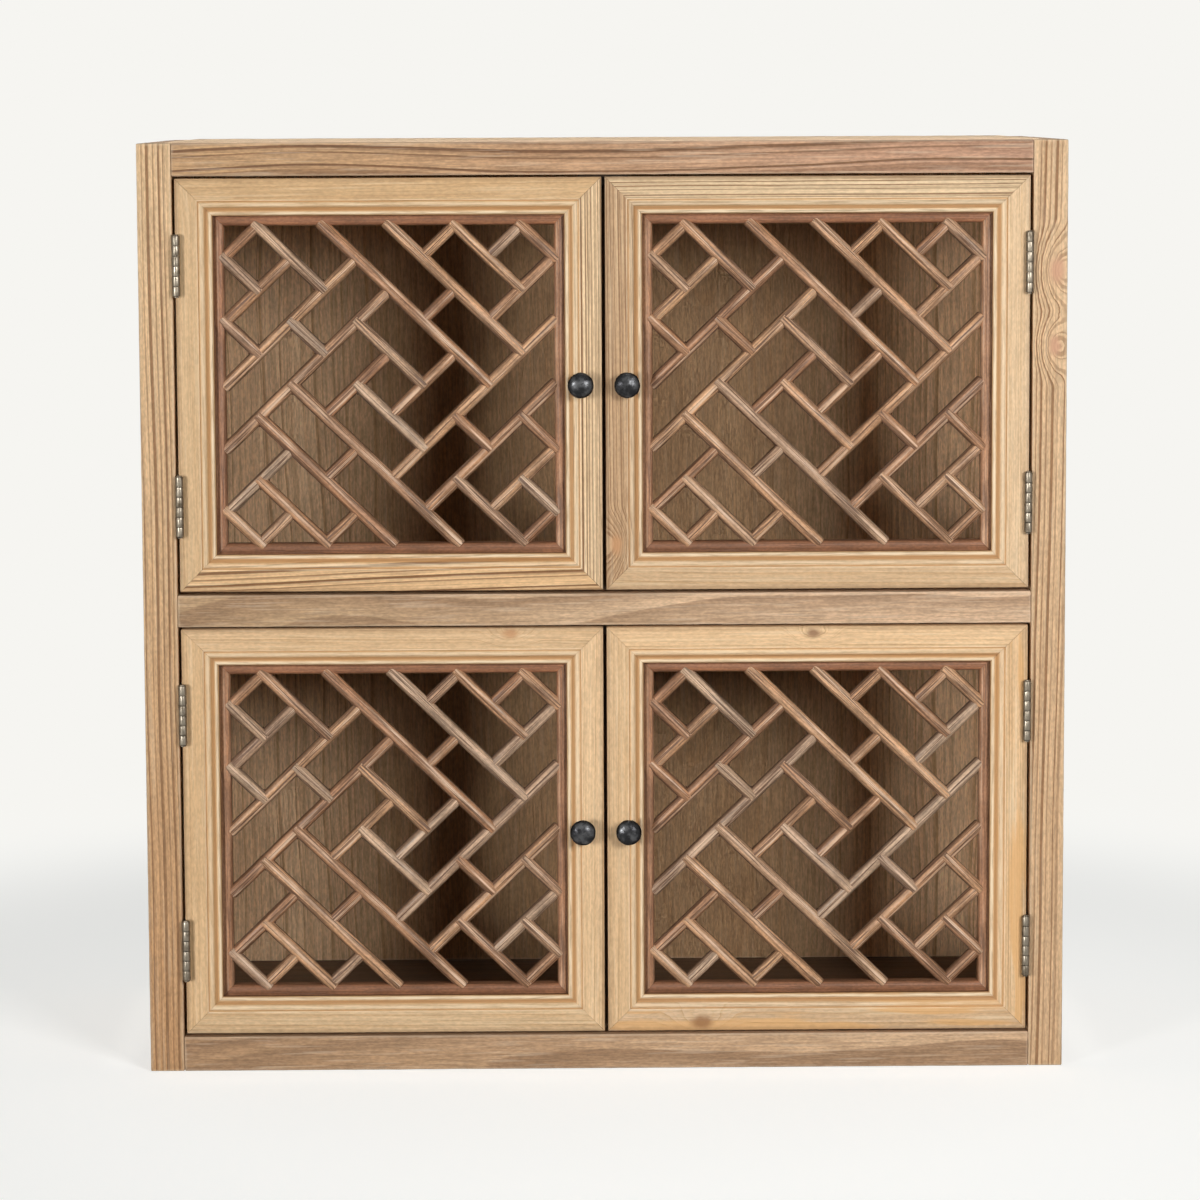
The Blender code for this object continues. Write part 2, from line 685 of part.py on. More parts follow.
def add_door(row, side_name, side, low_z):
    """One door with its lattice, knob and hinges."""
    name = f"{row}_{side_name}"
    high_z = low_z + DOOR_HEIGHT
    middle_z = (low_z + high_z) / 2
    hinge_x = side * (POST_INNER_X - SIDE_GAP)
    meeting_x = side * MEETING_GAP / 2
    middle_x = (hinge_x + meeting_x) / 2
    axis_x = side * (POST_INNER_X - AXIS_FROM_POST)
    axis_y = FRONT - AXIS_PROUD

    carrier = bpy.data.objects.new(f"{name}_door_axis", None)
    carrier.location = (axis_x, axis_y, middle_z)
    PARTS.objects.link(carrier)

    # The section's outer edge faces left as drawn, so a right-hand stile turns half round
    left_turn = 0
    right_turn = 180
    hinge_turn = left_turn if side < 0 else right_turn
    meeting_turn = right_turn if side < 0 else left_turn
    add_member(f"{name}_hinge_stile", stile, (hinge_x, FRONT, middle_z), hinge_turn, carrier)
    meeting_place = (meeting_x, FRONT, middle_z)
    meeting_stile = add_member(f"{name}_meeting_stile", stile, meeting_place, meeting_turn, carrier)
    add_member(f"{name}_door_bottom_rail", cross_rail, (middle_x, FRONT, low_z), -90, carrier)
    add_member(f"{name}_door_top_rail", cross_rail, (middle_x, FRONT, high_z), 90, carrier)

    panel = bpy.data.objects.new(f"{name}_lattice", lattice)
    panel.location = (middle_x, FRONT + LATTICE_FRONT + CLEARANCE, middle_z)
    as_part(panel, LATTICE_WOOD, carrier)

    pull = bpy.data.objects.new(f"{name}_knob", knob)
    pull.location = (meeting_x + side * KNOB_FROM_EDGE, FRONT, middle_z)
    as_part(pull, BLACK_IRON, carrier)
    hole_radius = STUD_RADIUS + CLEARANCE
    hole_depth = STUD_LENGTH + CLEARANCE
    hole = as_tool(new_rod(f"{name}_knob_hole", hole_radius, -hole_depth, hole_depth, KNOB_STEPS))
    hole.location = pull.location
    hole.rotation_euler.x = math.radians(90)
    apply_boolean(meeting_stile, hole, "DIFFERENCE")

    hinge_heights = {"top": high_z - HINGE_FROM_END, "bottom": low_z + HINGE_FROM_END}
    for end_name, hinge_z in hinge_heights.items():
        post_leaf = bpy.data.objects.new(f"{name}_{end_name}_post_leaf", post_leaves[side])
        post_leaf.location = (axis_x, axis_y, hinge_z)
        as_part(post_leaf, AGED_NICKEL)
        door_leaf = bpy.data.objects.new(f"{name}_{end_name}_door_leaf", door_leaves[side])
        door_leaf.location = (axis_x, axis_y, hinge_z)
        as_part(door_leaf, AGED_NICKEL, carrier)


for row, low_z in DOOR_ROWS.items():
    for side_name, side in (("left", -1), ("right", 1)):
        add_door(row, side_name, side, low_z)
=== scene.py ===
"""The looks of a display cabinet with four lattice doors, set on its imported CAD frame.

Metres, +Z up, the doors face -Y. Each section makes one piece, or a group of like pieces.
"""

import json
import math
import random

import bmesh
import bpy
from mathutils import Euler, Matrix, Vector


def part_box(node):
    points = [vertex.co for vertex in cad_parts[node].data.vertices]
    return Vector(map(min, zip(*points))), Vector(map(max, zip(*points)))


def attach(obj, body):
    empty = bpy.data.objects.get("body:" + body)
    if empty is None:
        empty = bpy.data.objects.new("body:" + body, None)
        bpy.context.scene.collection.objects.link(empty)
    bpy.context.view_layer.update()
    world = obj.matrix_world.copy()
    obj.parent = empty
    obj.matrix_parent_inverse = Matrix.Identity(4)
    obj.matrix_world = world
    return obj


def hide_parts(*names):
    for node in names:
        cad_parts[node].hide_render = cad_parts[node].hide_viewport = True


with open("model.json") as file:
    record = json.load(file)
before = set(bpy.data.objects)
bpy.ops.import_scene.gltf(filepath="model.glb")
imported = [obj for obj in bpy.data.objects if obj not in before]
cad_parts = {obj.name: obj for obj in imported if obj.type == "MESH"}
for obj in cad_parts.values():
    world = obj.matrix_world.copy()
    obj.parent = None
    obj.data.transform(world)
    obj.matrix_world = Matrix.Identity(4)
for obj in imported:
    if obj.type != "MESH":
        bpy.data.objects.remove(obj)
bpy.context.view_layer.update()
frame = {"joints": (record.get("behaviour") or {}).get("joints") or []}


# Posts
# Four square posts of reclaimed pine, planed, brushed along the grain and waxed. The rails are
# tenoned into them, and years of handling have rubbed their edges soft.

post_round = 0.0012
round_steps = 3
board_cut = 0.009
most_cuts = 100
waver_size = 0.020
waver_height = 0.0006
smooth_below = math.radians(35)


def select_only(piece):
    """Makes a piece the one that is selected and active."""
    bpy.ops.object.select_all(action="DESELECT")
    piece.select_set(True)
    bpy.context.view_layer.objects.active = piece


def named(piece, name):
    """Gives a piece and its mesh a name."""
    piece.name = name
    piece.data.name = name
    return piece


def settle():
    """Puts the selected piece's place, turn and size into its mesh."""
    bpy.ops.object.transform_apply(location=True, rotation=True, scale=True)


def add_block(name, low, high):
    """A block between two corners, with its place in its mesh."""
    bpy.ops.object.select_all(action="DESELECT")
    low = Vector(low)
    high = Vector(high)
    bpy.ops.mesh.primitive_cube_add(size=1.0, location=(low + high) / 2, scale=high - low)
    block = named(bpy.context.object, name)
    settle()
    return block


def select_long_edges(piece, axis, least):
    """Selects, in edit mode, the edges along an axis that have at least a given length."""
    bpy.ops.mesh.select_mode(type="EDGE")
    bpy.ops.mesh.select_all(action="DESELECT")
    shape = bmesh.from_edit_mesh(piece.data)
    for edge in shape.edges:
        reach = edge.verts[1].co - edge.verts[0].co
        if abs(reach[axis]) > least:
            edge.select_set(True)
    bmesh.update_edit_mesh(piece.data)


def rub(piece, height, size):
    """Makes a surface waver, as rubbed and handled wood does."""
    waver = bpy.data.textures.new(f"{piece.name}_waver", "CLOUDS")
    waver.noise_scale = size
    select_only(piece)
    bpy.ops.object.modifier_add(type="DISPLACE")
    modifier = piece.modifiers[-1]
    modifier.texture = waver
    modifier.texture_coords = "LOCAL"
    modifier.strength = height
    bpy.ops.object.modifier_apply(modifier=modifier.name)


def sawn_board(name, low, high, rounding):
    """A board between two corners, with rubbed edges that waver a little."""
    board = add_block(name, low, high)
    size = Vector(high) - Vector(low)
    axis = max(range(3), key=lambda index: size[index])
    bpy.ops.object.mode_set(mode="EDIT")
    bpy.ops.mesh.bevel(offset=rounding, segments=round_steps, affect="EDGES")
    select_long_edges(board, axis, size[axis] / 2)
    bpy.ops.mesh.subdivide(number_cuts=min(most_cuts, int(size[axis] / board_cut)))
    bpy.ops.object.mode_set(mode="OBJECT")
    rub(board, waver_height, waver_size)
    bpy.ops.object.shade_smooth_by_angle(angle=smooth_below)
    return board


def feed(tree, socket, value):
    """Joins a node's output to a socket, or sets the socket to a plain value."""
    if isinstance(value, bpy.types.NodeSocket):
        tree.links.new(value, socket)
    elif socket.type == "RGBA" and len(value) == 3:
        socket.default_value = (*value, 1.0)
    else:
        socket.default_value = value


def reckon(tree, operation, first, second=0.0):
    """A sum on one or two numbers."""
    node = tree.nodes.new("ShaderNodeMath")
    node.operation = operation
    feed(tree, node.inputs[0], first)
    feed(tree, node.inputs[1], second)
    return node.outputs[0]


def times(tree, first, second):
    """Two numbers multiplied."""
    return reckon(tree, "MULTIPLY", first, second)


def own_place(tree):
    """Where a point lies, in its piece's own coordinates."""
    return tree.nodes.new("ShaderNodeTexCoord").outputs["Object"]


def steer(tree, operation, first, second=(0.0, 0.0, 0.0)):
    """A sum on one or two vectors, which gives a vector or, for a length, a number."""
    node = tree.nodes.new("ShaderNodeVectorMath")
    node.operation = operation
    feed(tree, node.inputs[0], first)
    feed(tree, node.inputs[1], second)
    return node.outputs["Value" if operation in ("LENGTH", "DISTANCE", "DOT_PRODUCT") else "Vector"]


def ranged(tree, value, low, high, to_low=0.0, to_high=1.0):
    """A value brought softly from one range to another, and held at its ends."""
    node = tree.nodes.new("ShaderNodeMapRange")
    node.interpolation_type = "SMOOTHSTEP"
    for socket, number in zip(node.inputs, (value, low, high, to_low, to_high)):
        feed(tree, socket, number)
    return node.outputs[0]


def cloud(tree, place, stretch, detail=2.0, harshness=0.5):
    """Noise with so many features to the metre along each axis: its value and its colour."""
    node = tree.nodes.new("ShaderNodeTexNoise")
    tree.links.new(steer(tree, "MULTIPLY", place, stretch), node.inputs["Vector"])
    node.inputs["Scale"].default_value = 1.0
    node.inputs["Detail"].default_value = detail
    node.inputs["Roughness"].default_value = harshness
    return node.outputs[0], node.outputs[1]


def line_noise(tree, kind, value):
    """Noise on one number alone."""
    node = tree.nodes.new(kind)
    node.noise_dimensions = "1D"
    feed(tree, node.inputs["W"], value)
    return node.outputs[0]


def graded(tree, share, stops):
    """A grey value that changes with a share, through stops of share and value."""
    node = tree.nodes.new("ShaderNodeValToRGB")
    feed(tree, node.inputs[0], share)
    marks = node.color_ramp.elements
    marks[0].position = stops[0][0]
    marks[1].position = stops[-1][0]
    for position, value in stops[1:-1]:
        marks.new(position)
    for mark, (position, value) in zip(marks, stops):
        mark.color = (value, value, value, 1.0)
    return node.outputs[0]


def mixed(tree, share, first, second, way="MIX"):
    """Two colours mixed by a share."""
    node = tree.nodes.new("ShaderNodeMix")
    node.data_type = "RGBA"
    node.blend_type = way
    feed(tree, node.inputs[0], share)
    feed(tree, node.inputs[6], first)
    feed(tree, node.inputs[7], second)
    return node.outputs[2]


def new_finish(name, metallic=0.0, gloss=0.5):
    """A material with its tree and its shader."""
    material = bpy.data.materials.new(name)
    material.use_nodes = True
    shader = material.node_tree.nodes["Principled BSDF"]
    shader.inputs["Metallic"].default_value = metallic
    shader.inputs["Specular IOR Level"].default_value = gloss
    return material, material.node_tree, shader


def coat(tree, shader, colour, dullness, height, depth, strength):
    """Gives a shader its colour and its dullness, and lets a height stand out of the surface."""
    feed(tree, shader.inputs["Base Color"], colour)
    feed(tree, shader.inputs["Roughness"], dullness)
    bump = tree.nodes.new("ShaderNodeBump")
    bump.inputs["Strength"].default_value = strength
    bump.inputs["Distance"].default_value = depth
    tree.links.new(height, bump.inputs["Height"])
    tree.links.new(bump.outputs["Normal"], shader.inputs["Normal"])


def parted(tree, vector):
    """The three parts of a vector."""
    node = tree.nodes.new("ShaderNodeSeparateXYZ")
    feed(tree, node.inputs[0], vector)
    return node.outputs


def kept_value(tree, name, output="Fac"):
    """What a mesh keeps on its points under a name."""
    node = tree.nodes.new("ShaderNodeAttribute")
    node.attribute_name = name
    return node.outputs[output]


noise_middle = 0.5
noise_limits = (0.30, 0.70)
dull_limits = (0.2, 0.8)


def varied(tree, colour, noise, share):
    """A colour that noise makes darker and paler by up to a share."""
    factor = ranged(tree, noise, *noise_limits, 1.0 - share, 1.0 + share)
    return mixed(tree, 1.0, colour, factor, "MULTIPLY")


def thin_lines(tree, noise, wide, fine):
    """Thin lines along the places where noise passes its middle value."""
    off_line = reckon(tree, "ABSOLUTE", reckon(tree, "SUBTRACT", noise, noise_middle))
    return ranged(tree, off_line, wide, fine)


ragged_noise = ((90.0, 90.0, 90.0), 3.0)


def edge_nearness(tree, place, low, high, width):
    """How near a point of a board is to one of the board's edges, from 0 to 1, with ragged limits."""
    middle = (low + high) / 2
    offset = steer(tree, "ABSOLUTE", steer(tree, "SUBTRACT", place, middle))
    x, y, z = parted(tree, steer(tree, "SUBTRACT", (high - low) / 2, offset))
    inner = reckon(tree, "MINIMUM", reckon(tree, "MAXIMUM", x, y), z)
    to_edge = reckon(tree, "MAXIMUM", reckon(tree, "MINIMUM", x, y), inner)
    ragged = cloud(tree, place, *ragged_noise)[0]
    return ranged(tree, to_edge, times(tree, ragged, width), 0.0)


wood_gloss = 0.30
wood_dullness = (0.52, 0.72)
wood_relief = 0.0007
relief_strength = 0.6
late_relief = 0.5
crack_relief = 0.4
sway_noise = ((2.6, 9.0, 9.0), 1.0)
uneven_pitch = 0.12
uneven_rings = 2.0
soft_ring = ((0.0, 0.0), (0.30, 0.10), (0.62, 0.45), (0.84, 1.0), (0.95, 0.90), (1.0, 0.0))
soft_vigour = 0.35
crisp_ring = ((0.0, 0.0), (0.38, 0.08), (0.56, 0.35), (0.66, 1.0), (0.92, 1.0), (1.0, 0.0))
crisp_vigour = 0.55
knot_squeeze = 0.6
knot_noise = ((120.0, 120.0, 120.0), 2.0)
knot_ragged = 0.003
knot_rim = 1.7
knot_core = 0.6
knot_cover = 0.85
bulge_reach = 4.5
bulge_rings = 5.0
fleck_noise = ((26.0, 430.0, 430.0), 2.5, 0.6)
crack_noise = ((3.0, 300.0, 300.0), 1.5)
crack_width = (0.032, 0.006)
pore_noise = ((8.0, 430.0, 430.0), 2.0)
pore_limits = (0.55, 0.66)
stain_noise = ((2.2, 22.0, 22.0), 3.0)
stain_limits = (0.38, 0.66)
sand_noise = ((190.0, 560.0, 560.0), 1.0)
wood_sand = 0.12
worn_width = 0.006
worn_share = 0.35


def brushed_pine(name, low, high, way, cut, tones, knots=(), moulded=False):
    """Old pine: growth rings round the heart of the log, flecks, fine cracks, limed pores, worn edges.

    The grain runs up, across or deep. The cut says how the board lies in the log: its distance from the
    heart in depth and across, how far it leans, the width of a ring, how much the rings sway, and its
    place along the log.
    """
    low = Vector(low)
    high = Vector(high)
    middle = (low + high) / 2
    material, tree, shader = new_finish(name, gloss=tones.get("gloss", wood_gloss))
    place = own_place(tree)
    turn = Euler((0.0, math.radians(cut["lean"][0]), math.radians(cut["lean"][1]))).to_matrix()
    if way == "up":
        turn = turn @ Matrix.Rotation(math.radians(90), 3, "Y")
    elif way == "deep":
        turn = Matrix.Rotation(math.radians(-90), 3, "Z")
    log = tree.nodes.new("ShaderNodeMapping")
    log.inputs["Rotation"].default_value = turn.to_euler()
    log.inputs["Location"].default_value = Vector((cut["along"], *cut["heart"])) - turn @ middle
    tree.links.new(place, log.inputs["Vector"])
    grain = log.outputs["Vector"]

    # Growth rings, which sway and bend round knots
    drift = cloud(tree, grain, *sway_noise)[1]
    drift = steer(tree, "SUBTRACT", drift, (noise_middle, noise_middle, noise_middle))
    drift = steer(tree, "MULTIPLY", drift, (0.0, cut["sway"], cut["sway"]))
    swayed = steer(tree, "ADD", grain, drift)
    radius = steer(tree, "LENGTH", steer(tree, "MULTIPLY", swayed, (0.0, 1.0, 1.0)))
    reach = Vector((1.0, 0.0, knot_squeeze)) if way == "up" else Vector((knot_squeeze, 0.0, 1.0))
    knot_share = 0.0
    for knot_x, knot_z, knot_size in knots:
        spot = Vector((knot_x, 0.0, knot_z)) * reach
        away = steer(tree, "DISTANCE", steer(tree, "MULTIPLY", place, reach), spot)
        ragged = cloud(tree, place, *knot_noise)[0]
        away = reckon(tree, "ADD", away, times(tree, ragged, knot_ragged))
        bulge = ranged(tree, away, bulge_reach * knot_size, 0.0, 0.0, bulge_rings * cut["ring"])
        radius = reckon(tree, "ADD", radius, bulge)
        dark = ranged(tree, away, knot_rim * knot_size, knot_core * knot_size)
        knot_share = reckon(tree, "MAXIMUM", knot_share, dark)
    rings = reckon(tree, "DIVIDE", radius, cut["ring"])
    uneven = line_noise(tree, "ShaderNodeTexNoise", times(tree, rings, uneven_pitch))
    rings = reckon(tree, "ADD", rings, times(tree, uneven, uneven_rings))
    crisp = cut.get("crisp", False)
    band = graded(tree, reckon(tree, "FRACT", rings), crisp_ring if crisp else soft_ring)
    vigour = line_noise(tree, "ShaderNodeTexWhiteNoise", reckon(tree, "FLOOR", rings))
    vigour = ranged(tree, vigour, 0.0, 1.0, crisp_vigour if crisp else soft_vigour, 1.0)
    late = times(tree, band, vigour)

    # Flecks, fine cracks, limed pores and broad stains, all drawn out along the grain
    fleck = cloud(tree, grain, *fleck_noise)[0]
    crack = thin_lines(tree, cloud(tree, grain, *crack_noise)[0], *crack_width)
    pores = ranged(tree, cloud(tree, grain, *pore_noise)[0], *pore_limits)
    stain = ranged(tree, cloud(tree, grain, *stain_noise)[0], *stain_limits)
    sand = cloud(tree, grain, *sand_noise)[0]
    early = tones["early"]
    if "middle" in tones:
        # Painted light and shade: the panel is paler at its sides, where the light falls, and darker in its
        # middle
        outer = ranged(tree, reckon(tree, "ABSOLUTE", parted(tree, place)["X"]), *painted_shade_middle_limits)
        early = mixed(tree, outer, tones["middle"], early)
    if "far" in tones:
        # The board's tone changes from its top or left end to the other
        x, y, z = parted(tree, place)
        share = ranged(tree, z, high.z, low.z) if way == "up" else ranged(tree, x, low.x, high.x)
        early = mixed(tree, share, early, tones["far"])
    colour = mixed(tree, late, early, tones["late"])
    colour = mixed(tree, stain, colour, tones["stain"], "MULTIPLY")
    colour = varied(tree, colour, fleck, tones["fleck"])
    colour = varied(tree, colour, sand, tones.get("sandy", wood_sand))
    colour = mixed(tree, times(tree, crack, tones["cracked"]), colour, tones["late"])
    colour = mixed(tree, times(tree, pores, tones["limed"]), colour, tones["lime"])
    if "flame" in tones:
        flame = ranged(tree, cloud(tree, grain, *flame_noise)[0], *flame_limits, 0.0, flame_share)
        colour = mixed(tree, flame, colour, tones["flame"])
    if knots:
        colour = mixed(tree, times(tree, knot_share, knot_cover), colour, tones["knot"])
    if moulded:
        # The outer edges are darker
        outer_dark = edge_nearness(tree, place, low, high, outer_dark_width)
        colour = mixed(tree, times(tree, outer_dark, outer_dark_share), colour, tones["wax"])
        # The beads are pale along their crests, part rub wear and part painted highlight, with a painted
        # highlight line along the flat's inner edge
        rubbed = ranged(tree, fleck, *wear_and_highlight_limits, wear_and_highlight_least, 1.0)
        rubbed = times(tree, kept_value(tree, "crest"), rubbed)
        colour = mixed(tree, rubbed, colour, tones["crest"])
        # The hollows are darker, part dark wax and part painted shade, and the dark line at the lip is
        # painted shadow
        hollow = kept_value(tree, "hollow")
        shallow = ranged(tree, hollow, 0.0, dark_hollow_depth, 0.0, groove_share)
        colour = mixed(tree, shallow, colour, tones["groove"])
        colour = mixed(tree, ranged(tree, hollow, dark_hollow_depth, 1.0), colour, tones["wax"])
    else:
        worn = edge_nearness(tree, place, low, high, worn_width)
        colour = mixed(tree, times(tree, worn, worn_share), colour, tones["lime"])
    dullness = ranged(tree, fleck, *dull_limits, *wood_dullness)
    height = reckon(tree, "SUBTRACT", fleck, times(tree, late, late_relief))
    height = reckon(tree, "SUBTRACT", height, times(tree, crack, crack_relief))
    coat(tree, shader, colour, dullness, height, wood_relief, relief_strength)
    return material


def log_cut(heart, lean, ring, sway, along, crisp=False):
    """How a board lies in its log, as brushed_pine takes it."""
    return {"heart": heart, "lean": lean, "ring": ring, "sway": sway, "along": along, "crisp": crisp}


def fit(piece, finish, slot, body, *nodes):
    """Gives a finished piece its material, and sets it on its body in place of its nodes. The slot is not
    used.
    """
    piece.data.materials.clear()
    piece.data.materials.append(finish)
    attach(piece, body)
    if nodes:
        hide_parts(*nodes)
    return piece


post_tones = {
    "early": (0.700, 0.475, 0.270),
    "late": (0.285, 0.150, 0.068),
    "stain": (0.93, 0.90, 0.87),
    "fleck": 0.11,
    "cracked": 0.25,
    "lime": (0.800, 0.630, 0.430),
    "limed": 0.18,
    "knot": (0.600, 0.330, 0.205),
}
left_post_tones = dict(post_tones, early=(0.750, 0.515, 0.292), far=(0.540, 0.310, 0.150))
right_post_tones = dict(post_tones, early=(0.710, 0.490, 0.290), far=(0.640, 0.420, 0.240))
post_cuts = {
    "left_front_post": (left_post_tones, log_cut((0.030, 0.090), (0.5, 0.3), 0.0056, 0.010, 0.7, True)),
    "right_front_post": (right_post_tones, log_cut((-0.030, -0.070), (-0.6, 0.5), 0.0050, 0.012, 5.2, True)),
    "left_rear_post": (post_tones, log_cut((0.020, 0.070), (0.5, 0.9), 0.0060, 0.010, 9.1)),
    "right_rear_post": (post_tones, log_cut((0.060, 0.030), (0.9, 0.4), 0.0066, 0.010, 14.6)),
}
post_knots = {"right_front_post": ((0.450, 0.803, 0.0075), (0.448, 0.728, 0.0060))}
for node, (tones, cut) in post_cuts.items():
    low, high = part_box(node)
    post = sawn_board(f"{node}_wood", low, high, post_round)
    finish = brushed_pine(f"{node}_pine", low, high, "up", cut, tones, post_knots.get(node, ()))
    fit(post, finish, "frame_wood", "carcass", node)


# Rails
# Three front rails and four side rails of the same old pine, as deep as the posts. Each is cut to
# butt against the posts, where its tenon is glued, so a fine dark line shows at each shoulder.

rail_round = 0.0012
rail_joint = 0.0003
brown_rail = {
    "early": (0.560, 0.360, 0.205),
    "late": (0.230, 0.120, 0.058),
    "stain": (0.88, 0.84, 0.81),
    "fleck": 0.15,
    "cracked": 0.30,
    "lime": (0.740, 0.570, 0.410),
    "limed": 0.25,
}
top_rail_tones = dict(
    brown_rail, early=(0.550, 0.345, 0.180), far=(0.500, 0.290, 0.185), late=(0.190, 0.095, 0.045), limed=0.30
)
middle_rail_tones = dict(
    brown_rail, early=(0.470, 0.310, 0.172), far=(0.760, 0.530, 0.345), late=(0.310, 0.190, 0.105)
)
bottom_rail_tones = dict(
    brown_rail, early=(0.410, 0.248, 0.132), far=(0.620, 0.415, 0.250), late=(0.290, 0.172, 0.094)
)
rail_cuts = {
    "top_front_rail": (top_rail_tones, log_cut((-0.030, 0.095), (0.3, 0.8), 0.0078, 0.034, 2.3, True)),
    "middle_front_rail": (middle_rail_tones, log_cut((-0.070, 0.030), (0.4, 1.5), 0.0130, 0.036, 7.7)),
    "bottom_front_rail": (bottom_rail_tones, log_cut((-0.075, 0.036), (0.5, 1.4), 0.0115, 0.036, 12.4)),
    "left_top_rail": (brown_rail, log_cut((0.012, 0.060), (0.5, 0.5), 0.0058, 0.010, 17.0)),
    "left_bottom_rail": (brown_rail, log_cut((0.030, 0.050), (0.7, 0.4), 0.0062, 0.010, 21.0)),
    "right_top_rail": (brown_rail, log_cut((-0.020, 0.055), (0.6, 0.9), 0.0060, 0.010, 26.0)),
    "right_bottom_rail": (brown_rail, log_cut((0.016, 0.064), (0.4, 0.6), 0.0057, 0.010, 31.0)),
}
left_post_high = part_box("left_front_post")[1]
right_post_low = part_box("right_front_post")[0]
rear_post_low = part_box("left_rear_post")[0]
for node, (tones, cut) in rail_cuts.items():
    low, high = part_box(node)
    way = "across" if node.endswith("front_rail") else "deep"
    if way == "across":
        low.x = left_post_high.x + rail_joint
        high.x = right_post_low.x - rail_joint
    else:
        low.y = left_post_high.y + rail_joint
        high.y = rear_post_low.y - rail_joint
    rail = sawn_board(f"{node}_wood", low, high, rail_round)
    finish = brushed_pine(f"{node}_pine", low, high, way, cut, tones)
    fit(rail, finish, "frame_wood", "carcass", node)


# Panels, floor, shelf and top
# Boards of stained pine glued edge to edge. The side and back panels sit loose in grooves, the shelf
# in dados, and the floor and top in rebates. The top stands a hair proud, so its joint shows all round.

panel_round = 0.0007
panel_tones = {
    "early": (0.940, 0.660, 0.405),
    "late": (0.560, 0.335, 0.170),
    "stain": (0.86, 0.83, 0.80),
    "fleck": 0.16,
    "cracked": 0.10,
    "lime": (0.840, 0.640, 0.440),
    "limed": 0.15,
}
# The back panel is paler at its sides and darker in its middle, as painted light and shade
painted_shade_middle_limits = (0.16, 0.36)
back_tones = dict(panel_tones, middle=(0.580, 0.362, 0.194), stain=(0.93, 0.91, 0.89), gloss=0.12)
# The floor, shelf and divider take a dark tone as painted shade, for the little light inside the cabinet
painted_shade_interior_tones = dict(
    panel_tones, early=(0.200, 0.125, 0.075), late=(0.090, 0.052, 0.029), lime=(0.22, 0.15, 0.10)
)
outside_tones = dict(
    panel_tones, early=(0.620, 0.420, 0.245), late=(0.300, 0.165, 0.080), lime=(0.72, 0.55, 0.38)
)
top_tones = dict(
    panel_tones, early=(0.700, 0.510, 0.330), late=(0.440, 0.290, 0.170), lime=(0.80, 0.65, 0.48), gloss=0.12
)
top_proud = 0.0008
panel_cuts = {
    "back_panel": ("up", back_tones, log_cut((-0.100, 0.110), (0.6, 2.2), 0.0075, 0.040, 40.0)),
    "left_side_panel": ("up", outside_tones, log_cut((0.040, 0.070), (1.0, 1.2), 0.0080, 0.026, 44.0)),
    "right_side_panel": ("up", outside_tones, log_cut((-0.030, -0.075), (1.1, 0.8), 0.0080, 0.026, 49.0)),
    "floor_panel": ("across", painted_shade_interior_tones, log_cut((0.050, 0.080), (1.2, 0.7), 0.0080, 0.026, 53.0)),
    "shelf": ("across", painted_shade_interior_tones, log_cut((-0.040, 0.085), (1.0, 0.9), 0.0080, 0.026, 58.0)),
    "top_panel": ("across", top_tones, log_cut((0.060, 0.090), (0.8, 0.8), 0.0085, 0.026, 63.0)),
}
for node, (way, tones, cut) in panel_cuts.items():
    low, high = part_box(node)
    if node == "top_panel":
        high.z += top_proud
    panel = sawn_board(f"{node}_wood", low, high, panel_round)
    finish = brushed_pine(f"{node}_pine", low, high, way, cut, tones)
    fit(panel, finish, "panel_wood", "carcass", node)


# Divider
# An upright board of the same stained pine, halved with the shelf where they cross, with the floor's dark
# tone as painted shade.
# It parts the left and right compartments, so what shows of it is one piece above the shelf and one below.

divider_cut = log_cut((0.020, 0.080), (0.8, 1.0), 0.0080, 0.026, 67.0)


def join_pieces(pieces, name):
    """Several pieces made one."""
    bpy.ops.object.select_all(action="DESELECT")
    for piece in pieces:
        piece.select_set(True)
    bpy.context.view_layer.objects.active = pieces[0]
    bpy.ops.object.join()
    return named(bpy.context.object, name)


low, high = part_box("divider")
shelf_low, shelf_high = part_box("shelf")
floor_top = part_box("floor_panel")[1].z
top_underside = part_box("top_panel")[0].z
above_low = (low.x, low.y, shelf_high.z)
above_high = (high.x, high.y, top_underside)
below_low = (low.x, low.y, floor_top)
below_high = (high.x, high.y, shelf_low.z)
divider = join_pieces(
    [
        sawn_board("divider_above", above_low, above_high, panel_round),
        sawn_board("divider_below", below_low, below_high, panel_round),
    ],
    "divider_wood",
)
finish = brushed_pine("divider_pine", low, high, "up", divider_cut, painted_shade_interior_tones)
fit(divider, finish, "panel_wood", "carcass", "divider")


# Magnetic catches
# Moulded brown housings screwed up under the top and middle rails. Each has two steel pole plates in
# its front face, one for each door, which hold the strike plates on the doors' backs.

catch_round = 0.0012
square_on = 0.99
start_size = 0.01
pole_inset = 0.0025
pole_depth = 0.0012
catch_colour = (0.060, 0.035, 0.020)
catch_worn = 1.6
catch_gloss = 0.4
catch_dullness = 0.48
speck_noise = ((900.0, 900.0, 900.0), 3.0)
rubbed_noise = ((60.0, 60.0, 60.0), 2.0)
speck_relief = 0.0003
speck_strength = 0.25


def push(step):
    """Draws out, in edit mode, what is selected, by a step."""
    bpy.ops.mesh.extrude_region_move(TRANSFORM_OT_translate={"value": step})


